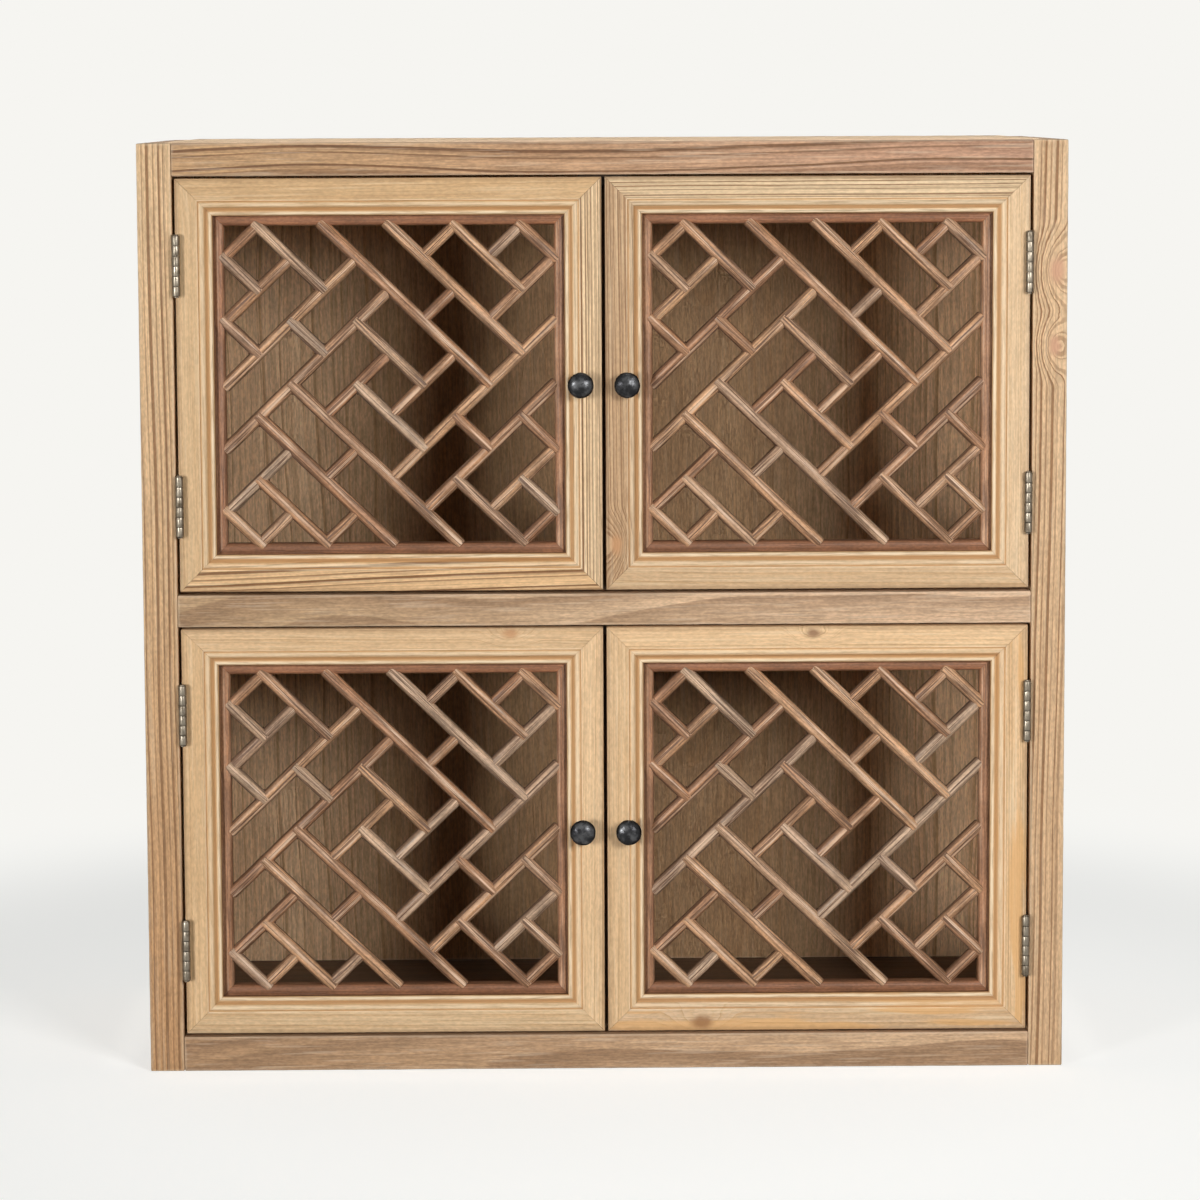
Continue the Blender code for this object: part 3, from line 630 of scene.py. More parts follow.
def draw_outline(name, points, filled=True):
    """An outline drawn from point to point, left in edit mode, with its face selected if it is filled."""
    bpy.ops.object.select_all(action="DESELECT")
    bpy.ops.mesh.primitive_plane_add(size=start_size, location=points[0])
    piece = named(bpy.context.object, name)
    settle()
    bpy.ops.object.mode_set(mode="EDIT")
    bpy.ops.mesh.select_mode(type="VERT")
    bpy.ops.mesh.select_all(action="SELECT")
    bpy.ops.mesh.merge(type="CENTER")
    for here, there in zip(points, points[1:]):
        step = Vector(there) - Vector(here)
        push(step)
    bpy.ops.mesh.select_all(action="SELECT")
    if filled:
        bpy.ops.mesh.edge_face_add()
    return piece


def select_faces(piece, wanted):
    """Selects, in edit mode, the faces whose centre and normal pass a test."""
    bpy.ops.mesh.select_mode(type="FACE")
    bpy.ops.mesh.select_all(action="DESELECT")
    shape = bmesh.from_edit_mesh(piece.data)
    for face in shape.faces:
        if wanted(face.calc_center_median(), face.normal):
            face.select_set(True)
    bmesh.update_edit_mesh(piece.data)


def moulded_plastic(name, colour):
    """Plain moulded plastic with a fine matt skin, paler where it is worn."""
    material, tree, shader = new_finish(name, gloss=catch_gloss)
    place = own_place(tree)
    worn = cloud(tree, place, *rubbed_noise)[0]
    paler = tuple(catch_worn * part for part in colour)
    rubbed = mixed(tree, worn, colour, paler)
    speck = cloud(tree, place, *speck_noise)[0]
    coat(tree, shader, rubbed, catch_dullness, speck, speck_relief, speck_strength)
    return material


catch_finish = moulded_plastic("catch_plastic", catch_colour)
for node in ("upper_catch", "lower_catch"):
    low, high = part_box(node)
    catch = add_block(f"{node}_housing", low, high)
    bpy.ops.object.mode_set(mode="EDIT")
    bpy.ops.mesh.bevel(offset=catch_round, segments=round_steps, affect="EDGES")
    bpy.ops.mesh.select_all(action="SELECT")
    bpy.ops.mesh.bisect(plane_co=(0.0, 0.0, 0.0), plane_no=(1.0, 0.0, 0.0))
    select_faces(catch, lambda centre, normal: normal.y < -square_on)
    bpy.ops.mesh.inset(thickness=pole_inset, depth=0.0, use_individual=True)
    push((0.0, pole_depth, 0.0))
    bpy.ops.object.mode_set(mode="OBJECT")
    bpy.ops.object.shade_smooth_by_angle(angle=smooth_below)
    fit(catch, catch_finish, "catch_brown", "carcass", node)


# Door frames
# Each door has two stiles and two rails of honey pine with a moulding run along the inner edge: a
# quirk, two beads and a cove. The corners are mitred and glued, and a rebate behind takes the lattice.

flat_band = 0.0222
band_rest = 0.0016
quirk_lip = 0.0003
quirk_depth = 0.0010
quirk_width = 0.0010
outer_bead_start = (flat_band + quirk_width, 0.0008)
outer_bead_end = (0.0290, 0.0022)
outer_bead_crown = 0.0016
cove = ((0.0296, 0.0031), (0.0304, 0.0035), (0.0313, 0.0035), (0.0322, 0.0032))
inner_bead_end = (0.0370, 0.0046)
inner_bead_crown = 0.0018
bead_steps = 7
rebate_edge = 0.0310
door_edge = 0.0008
edge_corner = 0.3 * door_edge
mitre_gap = 0.00018
member_cut = 0.012
member_waver = 0.0003
lattice_play = 0.0003
nearly = 0.00001
flame_noise = ((6.0, 75.0, 75.0), 2.0)
flame_limits = (0.50, 0.60)
flame_share = 0.70
outer_dark_width = 0.012
outer_dark_share = 0.34
wear_and_highlight_limits = (0.36, 0.60)
wear_and_highlight_least = 0.30
dark_hollow_depth = 0.55
groove_share = 0.80
door_box = {}
for row in ("upper", "lower"):
    for side in ("left", "right"):
        rail_low, rail_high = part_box(f"{row}_{side}_door_bottom_rail")
        stile_low, stile_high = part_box(f"{row}_{side}_hinge_stile")
        door_box[row, side] = (
            Vector((rail_low.x, stile_low.y, stile_low.z)),
            Vector((rail_high.x, stile_high.y, stile_high.z)),
        )


def bead(start, end, crown):
    """Points over a rounded bead from one point to another, without its start."""
    points = []
    for step in range(1, bead_steps + 1):
        share = step / bead_steps
        across = start[0] + (end[0] - start[0]) * share
        depth = start[1] + (end[1] - start[1]) * share
        points.append((across, depth - crown * math.sin(math.pi * share)))
    return points


def member_outline(thickness, rebate_depth):
    """The section of a door member: distance from the outer edge and depth behind the face."""
    points = [
        (rebate_edge, thickness),
        (door_edge, thickness),
        (edge_corner, thickness - edge_corner),
        (0.0, thickness - door_edge),
        (0.0, door_edge),
        (edge_corner, edge_corner),
        (door_edge, 0.0),
        (flat_band - band_rest, 0.0),
        (flat_band - quirk_lip, 0.0),
        (flat_band, quirk_lip),
        (flat_band + quirk_lip, quirk_depth),
        (flat_band + quirk_width - quirk_lip, quirk_depth),
        outer_bead_start,
    ]
    points += bead(outer_bead_start, outer_bead_end, outer_bead_crown)
    points += cove
    points += bead(cove[-1], inner_bead_end, inner_bead_crown)
    points += [(inner_bead_end[0], rebate_depth), (rebate_edge, rebate_depth)]
    return points


def cut_mitre(co, normal):
    """Cuts off what lies beyond a plane and closes the cut."""
    bpy.ops.mesh.select_all(action="SELECT")
    bpy.ops.mesh.bisect(plane_co=co, plane_no=normal, use_fill=True, clear_outer=True)


def mark(piece, name, kind, values):
    """Keeps a value on each point of a piece."""
    kept = piece.data.attributes.new(name, kind, "POINT")
    for slot, value in zip(kept.data, values):
        if kind == "FLOAT":
            slot.value = value
        else:
            slot.vector = value


# How far each point lies in a hollow, for wax and painted shade; the lip, at the end, takes painted shadow
hollow_stops = (
    (0.0000, 0.0), (0.0219, 0.0), (0.0222, 0.30), (0.0225, 0.52), (0.0229, 0.52), (0.0232, 0.30),
    (0.0242, 0.0), (0.0280, 0.0), (0.0290, 0.40), (0.0296, 0.62), (0.0304, 0.72), (0.0313, 0.72),
    (0.0322, 0.35), (0.0330, 0.0), (0.0356, 0.0), (0.0364, 0.40), (0.0370, 1.0),
)
# Where the beads' crests and the flat's inner edge are pale: rub wear and painted highlight
crest_highlight_stops = (
    (0.0000, 0.0), (0.0207, 0.0), (0.0219, 0.65), (0.0222, 0.30), (0.0232, 0.0), (0.0248, 0.45),
    (0.0268, 0.55), (0.0288, 0.0), (0.0322, 0.0), (0.0334, 0.80), (0.0352, 0.90), (0.0364, 0.20),
    (0.0370, 0.0),
)


def share_across(stops, place, thickness):
    """What a point on a member's face has of a value that changes through stops across the face."""
    if place.y > thickness / 2:
        return 0.0
    for (low_x, low_share), (high_x, high_share) in zip(stops, stops[1:]):
        if low_x <= place.x <= high_x + nearly:
            return low_share + (high_share - low_share) * (place.x - low_x) / (high_x - low_x)
    return 0.0


def moulded_member(name, length, thickness, rebate_depth):
    """A door member along Z, with its outer edge on the Z axis and its face at zero depth."""
    outline = [(x, y, -length / 2) for x, y in member_outline(thickness, rebate_depth)]
    member = draw_outline(name, outline)
    push((0.0, 0.0, length))
    select_long_edges(member, 2, length / 2)
    bpy.ops.mesh.subdivide(number_cuts=int(length / member_cut))
    bpy.ops.mesh.select_mode(type="VERT")
    cut_mitre((0.0, 0.0, length / 2 - mitre_gap), (1.0, 0.0, 1.0))
    cut_mitre((0.0, 0.0, mitre_gap - length / 2), (1.0, 0.0, -1.0))
    bpy.ops.mesh.select_all(action="SELECT")
    bpy.ops.mesh.normals_make_consistent(inside=False)
    bpy.ops.object.mode_set(mode="OBJECT")
    places = [point.co.copy() for point in member.data.vertices]
    mark(member, "hollow", "FLOAT", [share_across(hollow_stops, place, thickness) for place in places])
    mark(member, "crest", "FLOAT", [share_across(crest_highlight_stops, place, thickness) for place in places])
    rub(member, member_waver, waver_size)
    bpy.ops.object.shade_smooth_by_angle(angle=smooth_below)
    return member


def placed_copy(master, name, place, turn_degrees=0.0):
    """A copy with a mesh of its own, turned about the depth axis and put in its place."""
    piece = master.copy()
    piece.data = master.data.copy()
    named(piece, name)
    bpy.context.scene.collection.objects.link(piece)
    piece.location = place
    piece.rotation_euler.y = math.radians(turn_degrees)
    select_only(piece)
    settle()
    return piece


honey = {
    "early": (0.735, 0.502, 0.284),
    "late": (0.560, 0.350, 0.175),
    "stain": (0.95, 0.93, 0.90),
    "fleck": 0.07,
    "cracked": 0.30,
    "lime": (0.880, 0.700, 0.460),
    "limed": 0.22,
    "knot": (0.560, 0.295, 0.140),
    "sandy": 0.08,
    # crest is the pale tone of rub wear and painted highlight on the beads
    "crest": (0.950, 0.760, 0.520),
    # groove and darkest darken the hollows, part wax and part painted shade
    "groove": (0.520, 0.275, 0.105),
    "wax": (0.150, 0.062, 0.022),
}
door_knots = {
    "lower_left_door_top_rail": ((-0.0943, 0.4432, 0.0052),),
    "lower_right_door_top_rail": ((0.2086, 0.4420, 0.0050),),
    "lower_right_door_bottom_rail": ((0.0960, 0.0470, 0.0066),),
    "upper_right_meeting_stile": ((0.0120, 0.5320, 0.0060),),
}
knot_tones = {
    "lower_right_door_top_rail": (0.260, 0.135, 0.070),
    "lower_right_door_bottom_rail": (0.300, 0.140, 0.055),
}
board_shades = {
    "upper_left_hinge_stile": (0.920, 0.920, 0.900),
    "upper_left_meeting_stile": (1.150, 1.230, 1.310),
    "upper_left_door_top_rail": (0.865, 0.837, 0.780),
    "upper_left_door_bottom_rail": (1.100, 1.050, 0.980),
    "upper_right_hinge_stile": (1.053, 1.120, 1.232),
    "upper_right_meeting_stile": (0.777, 0.747, 0.747),
    "upper_right_door_top_rail": (1.020, 1.110, 1.210),
    "upper_right_door_bottom_rail": (0.883, 0.893, 0.931),
    "lower_left_hinge_stile": (0.960, 0.940, 0.900),
    "lower_left_meeting_stile": (1.114, 1.137, 1.172),
    "lower_left_door_top_rail": (0.980, 0.980, 0.990),
    "lower_left_door_bottom_rail": (0.950, 0.990, 1.030),
    "lower_right_hinge_stile": (1.045, 1.034, 1.034),
    "lower_right_meeting_stile": (0.987, 0.987, 0.987),
    "lower_right_door_top_rail": (1.083, 1.083, 1.090),
    "lower_right_door_bottom_rail": (0.910, 0.930, 1.020),
}
board_cuts = {
    "upper_left_meeting_stile": ((0.01, 0.12), (0.2, 0.3), 0.0033, 0.003),
    "upper_left_door_bottom_rail": ((-0.02, 0.09), (1.6, 0.5), 0.0060, 0.010),
    "upper_right_door_top_rail": ((0.01, 0.12), (0.15, 0.2), 0.0042, 0.004),
    "lower_right_hinge_stile": ((0.01, 0.11), (0.2, 0.3), 0.0044, 0.004),
    "upper_right_meeting_stile": ((0.01, 0.10), (0.4, 0.6), 0.0036, 0.008),
}
orange_grain = {"lower_right_door_bottom_rail", "lower_right_hinge_stile"}
orange_tones = {"flame": (0.740, 0.415, 0.165), "limed": 0.4}
strong_grain = {
    "upper_left_meeting_stile",
    "upper_left_door_bottom_rail",
    "upper_right_door_top_rail",
    "upper_right_meeting_stile",
}
strong_tones = {"late": (0.230, 0.112, 0.046), "cracked": 0.4}
palest = 0.9
left_turn = 0.0
right_turn = 180.0
top_turn = 90.0
bottom_turn = -90.0
first_low, first_high = door_box["upper", "left"]
door_size = first_high - first_low
rebate_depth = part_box("upper_left_lattice")[0].y - first_low.y - lattice_play
stile_master = moulded_member("stile_master", door_size.z, door_size.y, rebate_depth)
rail_master = moulded_member("rail_master", door_size.x, door_size.y, rebate_depth)
heart_depths = (0.01, 0.03)
heart_sides = (0.08, 0.12)
lean_ups = (-0.6, 0.6)
lean_rounds = (0.3, 1.2)
ring_widths = (0.0040, 0.0055)
ring_sways = (0.004, 0.010)
log_places = (70.0, 170.0)
grain_luck = random.Random(11)
for (row, side), (low, high) in door_box.items():
    middle = (low + high) / 2
    left_edge = (low.x, left_turn)
    right_edge = (high.x, right_turn)
    hinge_edge, meeting_edge = (left_edge, right_edge) if side == "left" else (right_edge, left_edge)
    members = {
        "hinge_stile": (stile_master, hinge_edge[0], middle.z, hinge_edge[1]),
        "meeting_stile": (stile_master, meeting_edge[0], middle.z, meeting_edge[1]),
        "door_top_rail": (rail_master, middle.x, high.z, top_turn),
        "door_bottom_rail": (rail_master, middle.x, low.z, bottom_turn),
    }
    for kind, (master, x, z, turn) in members.items():
        node = f"{row}_{side}_{kind}"
        member = placed_copy(master, f"{node}_wood", (x, low.y, z), turn)
        cut = log_cut(
            heart=(grain_luck.uniform(*heart_depths), grain_luck.uniform(*heart_sides)),
            lean=(grain_luck.uniform(*lean_ups), grain_luck.uniform(*lean_rounds)),
            ring=grain_luck.uniform(*ring_widths),
            sway=grain_luck.uniform(*ring_sways),
            along=grain_luck.uniform(*log_places),
        )
        if node in board_cuts:
            cut = log_cut(*board_cuts[node], cut["along"], crisp=True)
        shaded = [min(palest, share * part) for share, part in zip(board_shades[node], honey["early"])]
        tones = dict(honey, early=tuple(shaded), knot=knot_tones.get(node, honey["knot"]))
        if node in strong_grain:
            tones.update(strong_tones)
        if node in orange_grain:
            tones.update(orange_tones)
        way = "up" if master is stile_master else "across"
        knots = door_knots.get(node, ())
        finish = brushed_pine(f"{node}_pine", *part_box(node), way, cut, tones, knots, moulded=True)
        fit(member, finish, "door_wood", f"{row}_{side}_door", node)
for master in (stile_master, rail_master):
    bpy.data.objects.remove(master)


# Lattices
# Each door is filled with an open lattice: a mitred frame of rounded strips and crossed half-round
# rods of reddish hardwood, cut to length, laid over each other and glued, then rubbed. Their pale lines
# are part wear and part painted highlight, and painted shade darkens their far sides, flanks and backs.

strip_width = 0.0162
strip_crest = 0.0108
strip_section = (
    (0.0, 0.0024), (0.0062, 0.0022), (0.0074, 0.0016), (0.0090, 0.0012), (strip_crest, 0.0010),
    (0.0124, 0.0013), (0.0138, 0.0020), (0.0149, 0.0030), (0.0157, 0.0044), (0.0161, 0.0060),
    (strip_width, 0.0080),
)
strip_reach = 2.0 * (strip_width - strip_crest)
# The side strips are paler than the top and bottom ones, the right one most, part wear and part painted
# light, with a partly painted highlight line
left_wear_and_light = 0.30
right_wear_and_light = 0.45
# The bottom strip is darker, as painted shade
bottom_strip_shade = 0.62
rod_width = 0.0125
rod_depth = 0.0072
rod_arc_steps = 12
rod_master_length = 0.1
rod_scales = (0.95, 1.04)
rod_drop = 0.0005
tip_length = 0.0016
tip_share = 0.84
frame_overlap = 0.0050
rising_overlap = 0.6 * frame_overlap
rod_overlap = 0.0030
far_set_back = 0.0013
shade_dot_radius = 0.0009
shade_dot_off_end = 0.0004
shade_dot_off_side = 0.53
shade_dot_off_crest = 1.0
shade_dot_reach = 0.5
back_skin = 0.0001
# Points on a stick's back count as flank, so they take painted shade
back_flank = 0.94
lattice_smooth = math.radians(50)
grid_cells = 10
half_of_rods = [
    ((1, 0), (3, 2)),
    ((3, 0), (8, 5)),
    ((5, 0), (9, 4)),
    ((7, 0), (9, 2)),
    ((9, 0), (10, 1)),
    ((0, 1), (1, 2)),
    ((0, 3), (1, 4)),
    ((2, 3), (3, 4)),
    ((4, 3), (6, 5)),
    ((1, 0), (0, 1)),
    ((2, 1), (0, 3)),
    ((4, 1), (0, 5)),
    ((5, 2), (0, 7)),
    ((7, 0), (6, 1)),
    ((9, 0), (8, 1)),
    ((10, 1), (8, 3)),
    ((7, 2), (6, 3)),
    ((5, 4), (3, 6)),
]
lattice_low, lattice_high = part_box("upper_left_lattice")
lattice_size = lattice_high - lattice_low


def select_points(piece, wanted):
    """Selects, in edit mode, the points whose place passes a test."""
    bpy.ops.mesh.select_mode(type="VERT")
    bpy.ops.mesh.select_all(action="DESELECT")
    shape = bmesh.from_edit_mesh(piece.data)
    for point in shape.verts:
        if wanted(point.co):
            point.select_set(True)
    shape.select_flush(True)
    bmesh.update_edit_mesh(piece.data)


def half_round_rod():
    """A half-round rod along X from zero, with its crest at zero depth and slightly tapered tips."""
    radius = rod_width / 2
    depth = rod_depth
    points = [(0.0, depth, radius), (0.0, depth, -radius)]
    for step in range(rod_arc_steps + 1):
        angle = math.pi * step / rod_arc_steps
        points.append((0.0, radius - radius * math.sin(angle), -radius * math.cos(angle)))
    rod = draw_outline("rod_master", points)
    centre = Vector((0.0, depth / 2, 0.0))
    bpy.ops.transform.resize(value=(1.0, tip_share, tip_share), center_override=centre)
    push((tip_length, 0.0, 0.0))
    bpy.ops.transform.resize(value=(1.0, 1 / tip_share, 1 / tip_share), center_override=centre)
    body = rod_master_length - 2 * tip_length
    push((body, 0.0, 0.0))
    push((tip_length, 0.0, 0.0))
    bpy.ops.transform.resize(value=(1.0, tip_share, tip_share), center_override=centre)
    bpy.ops.mesh.select_all(action="SELECT")
    bpy.ops.mesh.normals_make_consistent(inside=False)
    bpy.ops.object.mode_set(mode="OBJECT")
    return rod


def mark_stick(piece, number, crest, reach, wear, way=0.0, painted_shade=0.0):
    """Keeps on each point its place along the stick, its distance from the crest, its side and its wear.

    Painted shade moves a point towards the dark side of its stick.
    """
    places = [point.co.copy() for point in piece.data.vertices]
    mark(piece, "grain", "FLOAT_VECTOR", [(place.x + number, place.z, place.y) for place in places])
    back = max(place.y for place in places) - back_skin
    flanks = [back_flank if place.y > back else min(1.0, abs(place.z - crest) / reach) for place in places]
    mark(piece, "flank", "FLOAT", flanks)
    mark(piece, "side", "FLOAT", [way * (place.z - crest) / reach - painted_shade for place in places])
    mark(piece, "stick", "FLOAT", [number for place in places])
    mark(piece, "wear", "FLOAT", [wear for place in places])


def frame_strip(name, length, number, wear, painted_shade):
    """A rounded, mitred strip of the lattice's frame along X, its outer edge at zero height."""
    depth = lattice_size.y
    section = [(0.0, depth), *strip_section, (strip_width, depth)]
    strip = draw_outline(name, [(0.0, deep, across) for across, deep in section])
    push((length, 0.0, 0.0))
    cut_mitre((mitre_gap, 0.0, 0.0), (-1.0, 0.0, 1.0))
    cut_mitre((length - mitre_gap, 0.0, 0.0), (1.0, 0.0, 1.0))
    bpy.ops.mesh.select_all(action="SELECT")
    bpy.ops.mesh.normals_make_consistent(inside=False)
    bpy.ops.object.mode_set(mode="OBJECT")
    mark_stick(strip, number, strip_crest, strip_reach, wear, painted_shade=painted_shade)
    return strip


def add_shade_dot(place):
    """A small dark dot of painted shade at the corner of a joint."""
    bpy.ops.object.select_all(action="DESELECT")
    bpy.ops.mesh.primitive_ico_sphere_add(subdivisions=1, radius=shade_dot_radius, location=place)
    dot_piece = named(bpy.context.object, "shade_dot")
    settle()
    mark_stick(dot_piece, 0.0, place[2] + shade_dot_off_crest, shade_dot_reach, 0.0)
    return dot_piece


def cell_place(cell, width, height):
    """Where a corner of the lattice's grid lies, counted from the left and from the top."""
    return Vector(((cell[0] / grid_cells - 0.5) * width, 0.0, (0.5 - cell[1] / grid_cells) * height))


def lattice_master():
    """The whole lattice, centred on zero across, with its front at zero depth."""
    inner_width = lattice_size.x - 2 * strip_width
    inner_height = lattice_size.z - 2 * strip_width
    luck = random.Random(5)
    sticks = []
    for turn, length, x, z, wear, painted_shade in (
        (0, lattice_size.x, -lattice_size.x / 2, -lattice_size.z / 2, 0.0, bottom_strip_shade),
        (180, lattice_size.x, lattice_size.x / 2, lattice_size.z / 2, 0.0, 0.0),
        (90, lattice_size.z, -lattice_size.x / 2, lattice_size.z / 2, left_wear_and_light, 0.0),
        (-90, lattice_size.z, lattice_size.x / 2, -lattice_size.z / 2, right_wear_and_light, 0.0),
    ):
        strip = frame_strip(f"strip_{turn}", length, float(len(sticks) + 1), wear, painted_shade)
        sticks.append(placed_copy(strip, f"strip_at_{turn}", (x, 0.0, z), turn))
        bpy.data.objects.remove(strip)
    rod = half_round_rod()
    half_turned = [tuple((grid_cells - x, grid_cells - y) for x, y in rod_ends) for rod_ends in half_of_rods]
    beads = []
    for start, end in half_of_rods + half_turned:
        # Every rod is laid from left to right, and the falling rods lie over the rising ones
        cells = sorted((start, end))
        ends = [cell_place(cell, inner_width, inner_height) for cell in cells]
        direction = (ends[1] - ends[0]).normalized()
        falling = direction.z < 0
        for index, cell in enumerate(cells):
            outward = direction if index else -direction
            on_frame = cell[0] in (0, grid_cells) or cell[1] in (0, grid_cells)
            if falling and not on_frame:
                # Dark dots of painted shade fill the two corners where the rod's end meets the rod below it
                sideways = Vector((-direction.z, 0.0, direction.x))
                inward = outward * (rod_width / 2 + shade_dot_off_end)
                for way in (-1, 1):
                    corner = ends[index] - inward + sideways * way * rod_width * shade_dot_off_side
                    beads.append(add_shade_dot(corner + Vector((0.0, rod_width / 2, 0.0))))
            if on_frame:
                overlap = frame_overlap if falling else rising_overlap
            else:
                overlap = rod_overlap if falling else 0.0
            ends[index] += outward * overlap
        reach = ends[1] - ends[0]
        stick = rod.copy()
        stick.data = rod.data.copy()
        bpy.context.scene.collection.objects.link(stick)
        named(stick, f"rod_{len(sticks)}")
        select_only(stick)
        bpy.ops.object.mode_set(mode="EDIT")
        select_points(stick, lambda co: co.x > rod_master_length / 2)
        bpy.ops.transform.translate(value=(reach.length - rod_master_length, 0.0, 0.0))
        bpy.ops.object.mode_set(mode="OBJECT")
        mark_stick(stick, float(len(sticks) + 1), 0.0, rod_width / 2, 1.0, 1.0 if falling else -1.0)
        stick.scale = (1.0, 1.0, luck.uniform(*rod_scales))
        set_back = 0.0 if falling else far_set_back
        stick.location = ends[0] + Vector((0.0, set_back, luck.uniform(-rod_drop, rod_drop)))
        stick.rotation_euler.y = -math.atan2(reach.z, reach.x)
        select_only(stick)
        settle()
        sticks.append(stick)
    bpy.data.objects.remove(rod)
    lattice = join_pieces(sticks + beads, "lattice_master")
    bpy.ops.object.shade_smooth_by_angle(angle=lattice_smooth)
    return lattice


rod_gloss = 0.40
rod_dullness = (0.36, 0.56)
rod_relief = 0.0006
rod_tones = ((0.310, 0.150, 0.075), (0.500, 0.285, 0.150))
grey_tone = (0.400, 0.285, 0.195)
grey_limits = (0.62, 1.0)
grey_share = 0.80
strip_tone = (0.290, 0.125, 0.060)
other_draw = 0.37
streak_noise = ((22.0, 420.0, 420.0), 2.5, 0.6)
strip_streaks = (0.86, 1.14)
rod_streaks = (0.64, 1.38)
rod_sand_noise = ((260.0, 560.0, 560.0), 1.0)
rod_sand = 0.16
patch_noise = ((20.0, 40.0, 40.0), 3.0)
rod_patches = 0.20
fissure_noise = ((5.0, 300.0, 300.0), 1.5)
fissure_width = (0.040, 0.008)
fissure_shares = (0.30, 0.90)
fissure_tone = (0.110, 0.050, 0.025)
scrape_noise = ((9.0, 360.0, 360.0), 2.0)
scrape_limits = (0.46, 0.58)
worn_highlight_line = 0.30
worn_highlight_reach = (0.80, 0.05)
worn_highlight_patches = (0.38, 0.60, 0.12, 0.80)
worn_highlight_tone = (0.780, 0.560, 0.390)
shade_limits = (-0.30, -1.0)
shade_share = 0.80
shade_tone = (0.100, 0.047, 0.026)
flank_shade_limits = (0.90, 1.0)
flank_shade_share = 0.85
flank_shade_tone = (0.085, 0.040, 0.022)


def lattice_wood(name, seed):
    """Reddish hardwood whose sticks differ in tone, with grain along each stick, pale lines that are part
    wear and part painted highlight, and painted shade on each stick's far side, flanks and back.
    """
    material, tree, shader = new_finish(name, gloss=rod_gloss)
    along = kept_value(tree, "grain", "Vector")
    flank = kept_value(tree, "flank")
    wear = kept_value(tree, "wear")
    side = kept_value(tree, "side")
    stick = reckon(tree, "ADD", kept_value(tree, "stick"), seed)
    tone = line_noise(tree, "ShaderNodeTexWhiteNoise", stick)
    other = line_noise(tree, "ShaderNodeTexWhiteNoise", reckon(tree, "ADD", stick, other_draw))
    streak = cloud(tree, along, *streak_noise)[0]
    fissure = thin_lines(tree, cloud(tree, along, *fissure_noise)[0], *fissure_width)
    scrape = ranged(tree, cloud(tree, along, *scrape_noise)[0], *scrape_limits)
    patch = cloud(tree, along, *patch_noise)[0]
    sand = cloud(tree, along, *rod_sand_noise)[0]
    colour = mixed(tree, tone, *rod_tones)
    colour = mixed(tree, ranged(tree, other, *grey_limits, 0.0, grey_share), colour, grey_tone)
    colour = mixed(tree, wear, strip_tone, colour)
    faint = ranged(tree, streak, *noise_limits, *strip_streaks)
    strong = ranged(tree, streak, *noise_limits, *rod_streaks)
    colour = mixed(tree, 1.0, colour, mixed(tree, wear, faint, strong), "MULTIPLY")
    colour = varied(tree, colour, sand, rod_sand)
    colour = varied(tree, colour, patch, rod_patches)
    # A pale line, part wear and part painted highlight, runs a little to the lit side of each rod's crest,
    # and the other side takes painted shade
    off_line = reckon(tree, "ABSOLUTE", reckon(tree, "SUBTRACT", side, worn_highlight_line))
    worn = times(tree, ranged(tree, off_line, *worn_highlight_reach), ranged(tree, patch, *worn_highlight_patches))
    worn = times(tree, times(tree, worn, scrape), wear)
    colour = mixed(tree, worn, colour, worn_highlight_tone)
    fissured = ranged(tree, wear, 0.0, 1.0, *fissure_shares)
    colour = mixed(tree, times(tree, fissure, fissured), colour, fissure_tone)
    colour = mixed(tree, ranged(tree, side, *shade_limits, 0.0, shade_share), colour, shade_tone)
    # Painted shade darkens each stick's flanks, its back and the shade dots
    colour = mixed(tree, ranged(tree, flank, *flank_shade_limits, 0.0, flank_shade_share), colour, flank_shade_tone)
    dullness = ranged(tree, streak, *dull_limits, *rod_dullness)
    height = reckon(tree, "SUBTRACT", streak, fissure)
    coat(tree, shader, colour, dullness, height, rod_relief, relief_strength)
    return material


tone_step = 100.0
master = lattice_master()
for number, (row, side) in enumerate(door_box):
    node = f"{row}_{side}_lattice"
    low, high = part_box(node)
    middle = (low + high) / 2
    lattice = placed_copy(master, f"{node}_wood", (middle.x, low.y, middle.z))
    finish = lattice_wood(f"{node}_hardwood", tone_step * (number + 1))
    fit(lattice, finish, "lattice_wood", f"{row}_{side}_door", node)
bpy.data.objects.remove(master)


# Hinges
# Each door hangs on two pressed steel butt hinges with aged nickel plate. Six rolled knuckles turn on
# a pin with domed ends. The leaves are screwed to the post and to the door's edge, three screws each.

knuckle_count = 6
knuckle_sides = 28
knuckle_round = 0.00025
knuckle_gap = 0.00026
leaf_round = 0.0012
post_plate = (0.00375, 0.00275)
door_plate = (0.00245, 0.00145)
plate_lead = 0.0006
tab_lead = 0.0005
tab_trim = 0.0004
tab_reach = 0.0020
hinge_pin_radius = 0.0014
hinge_pin_sides = 12
hinge_pin_round = 0.0002
pin_end_radius = 0.0029
pin_end_sides = 20
pin_end_round = 0.0007
pin_end_sunk = 0.0004
pin_end_proud = 0.0012
screw_radius = 0.0030
screw_sides = 20
screw_round = 0.0002
screw_depth = 0.0006
screw_proud = 0.0001
slot_half = 0.0004
slot_depth = 0.0005
screw_row = (-0.33, 0.0, 0.33)
screw_from_pin = 0.0150
tarnish_noise = ((160.0, 160.0, 90.0), 4.0, 0.6)
tarnish_limits = (0.44, 0.72)
brushing_noise = ((1500.0, 1500.0, 120.0), 2.0)
nickel_tone = (0.215, 0.185, 0.145)
tarnish_tone = (0.075, 0.058, 0.040)
nickel_dullness = (0.3, 0.75, 0.30, 0.48)
brushing_relief = 0.0002
brushing_strength = 0.25


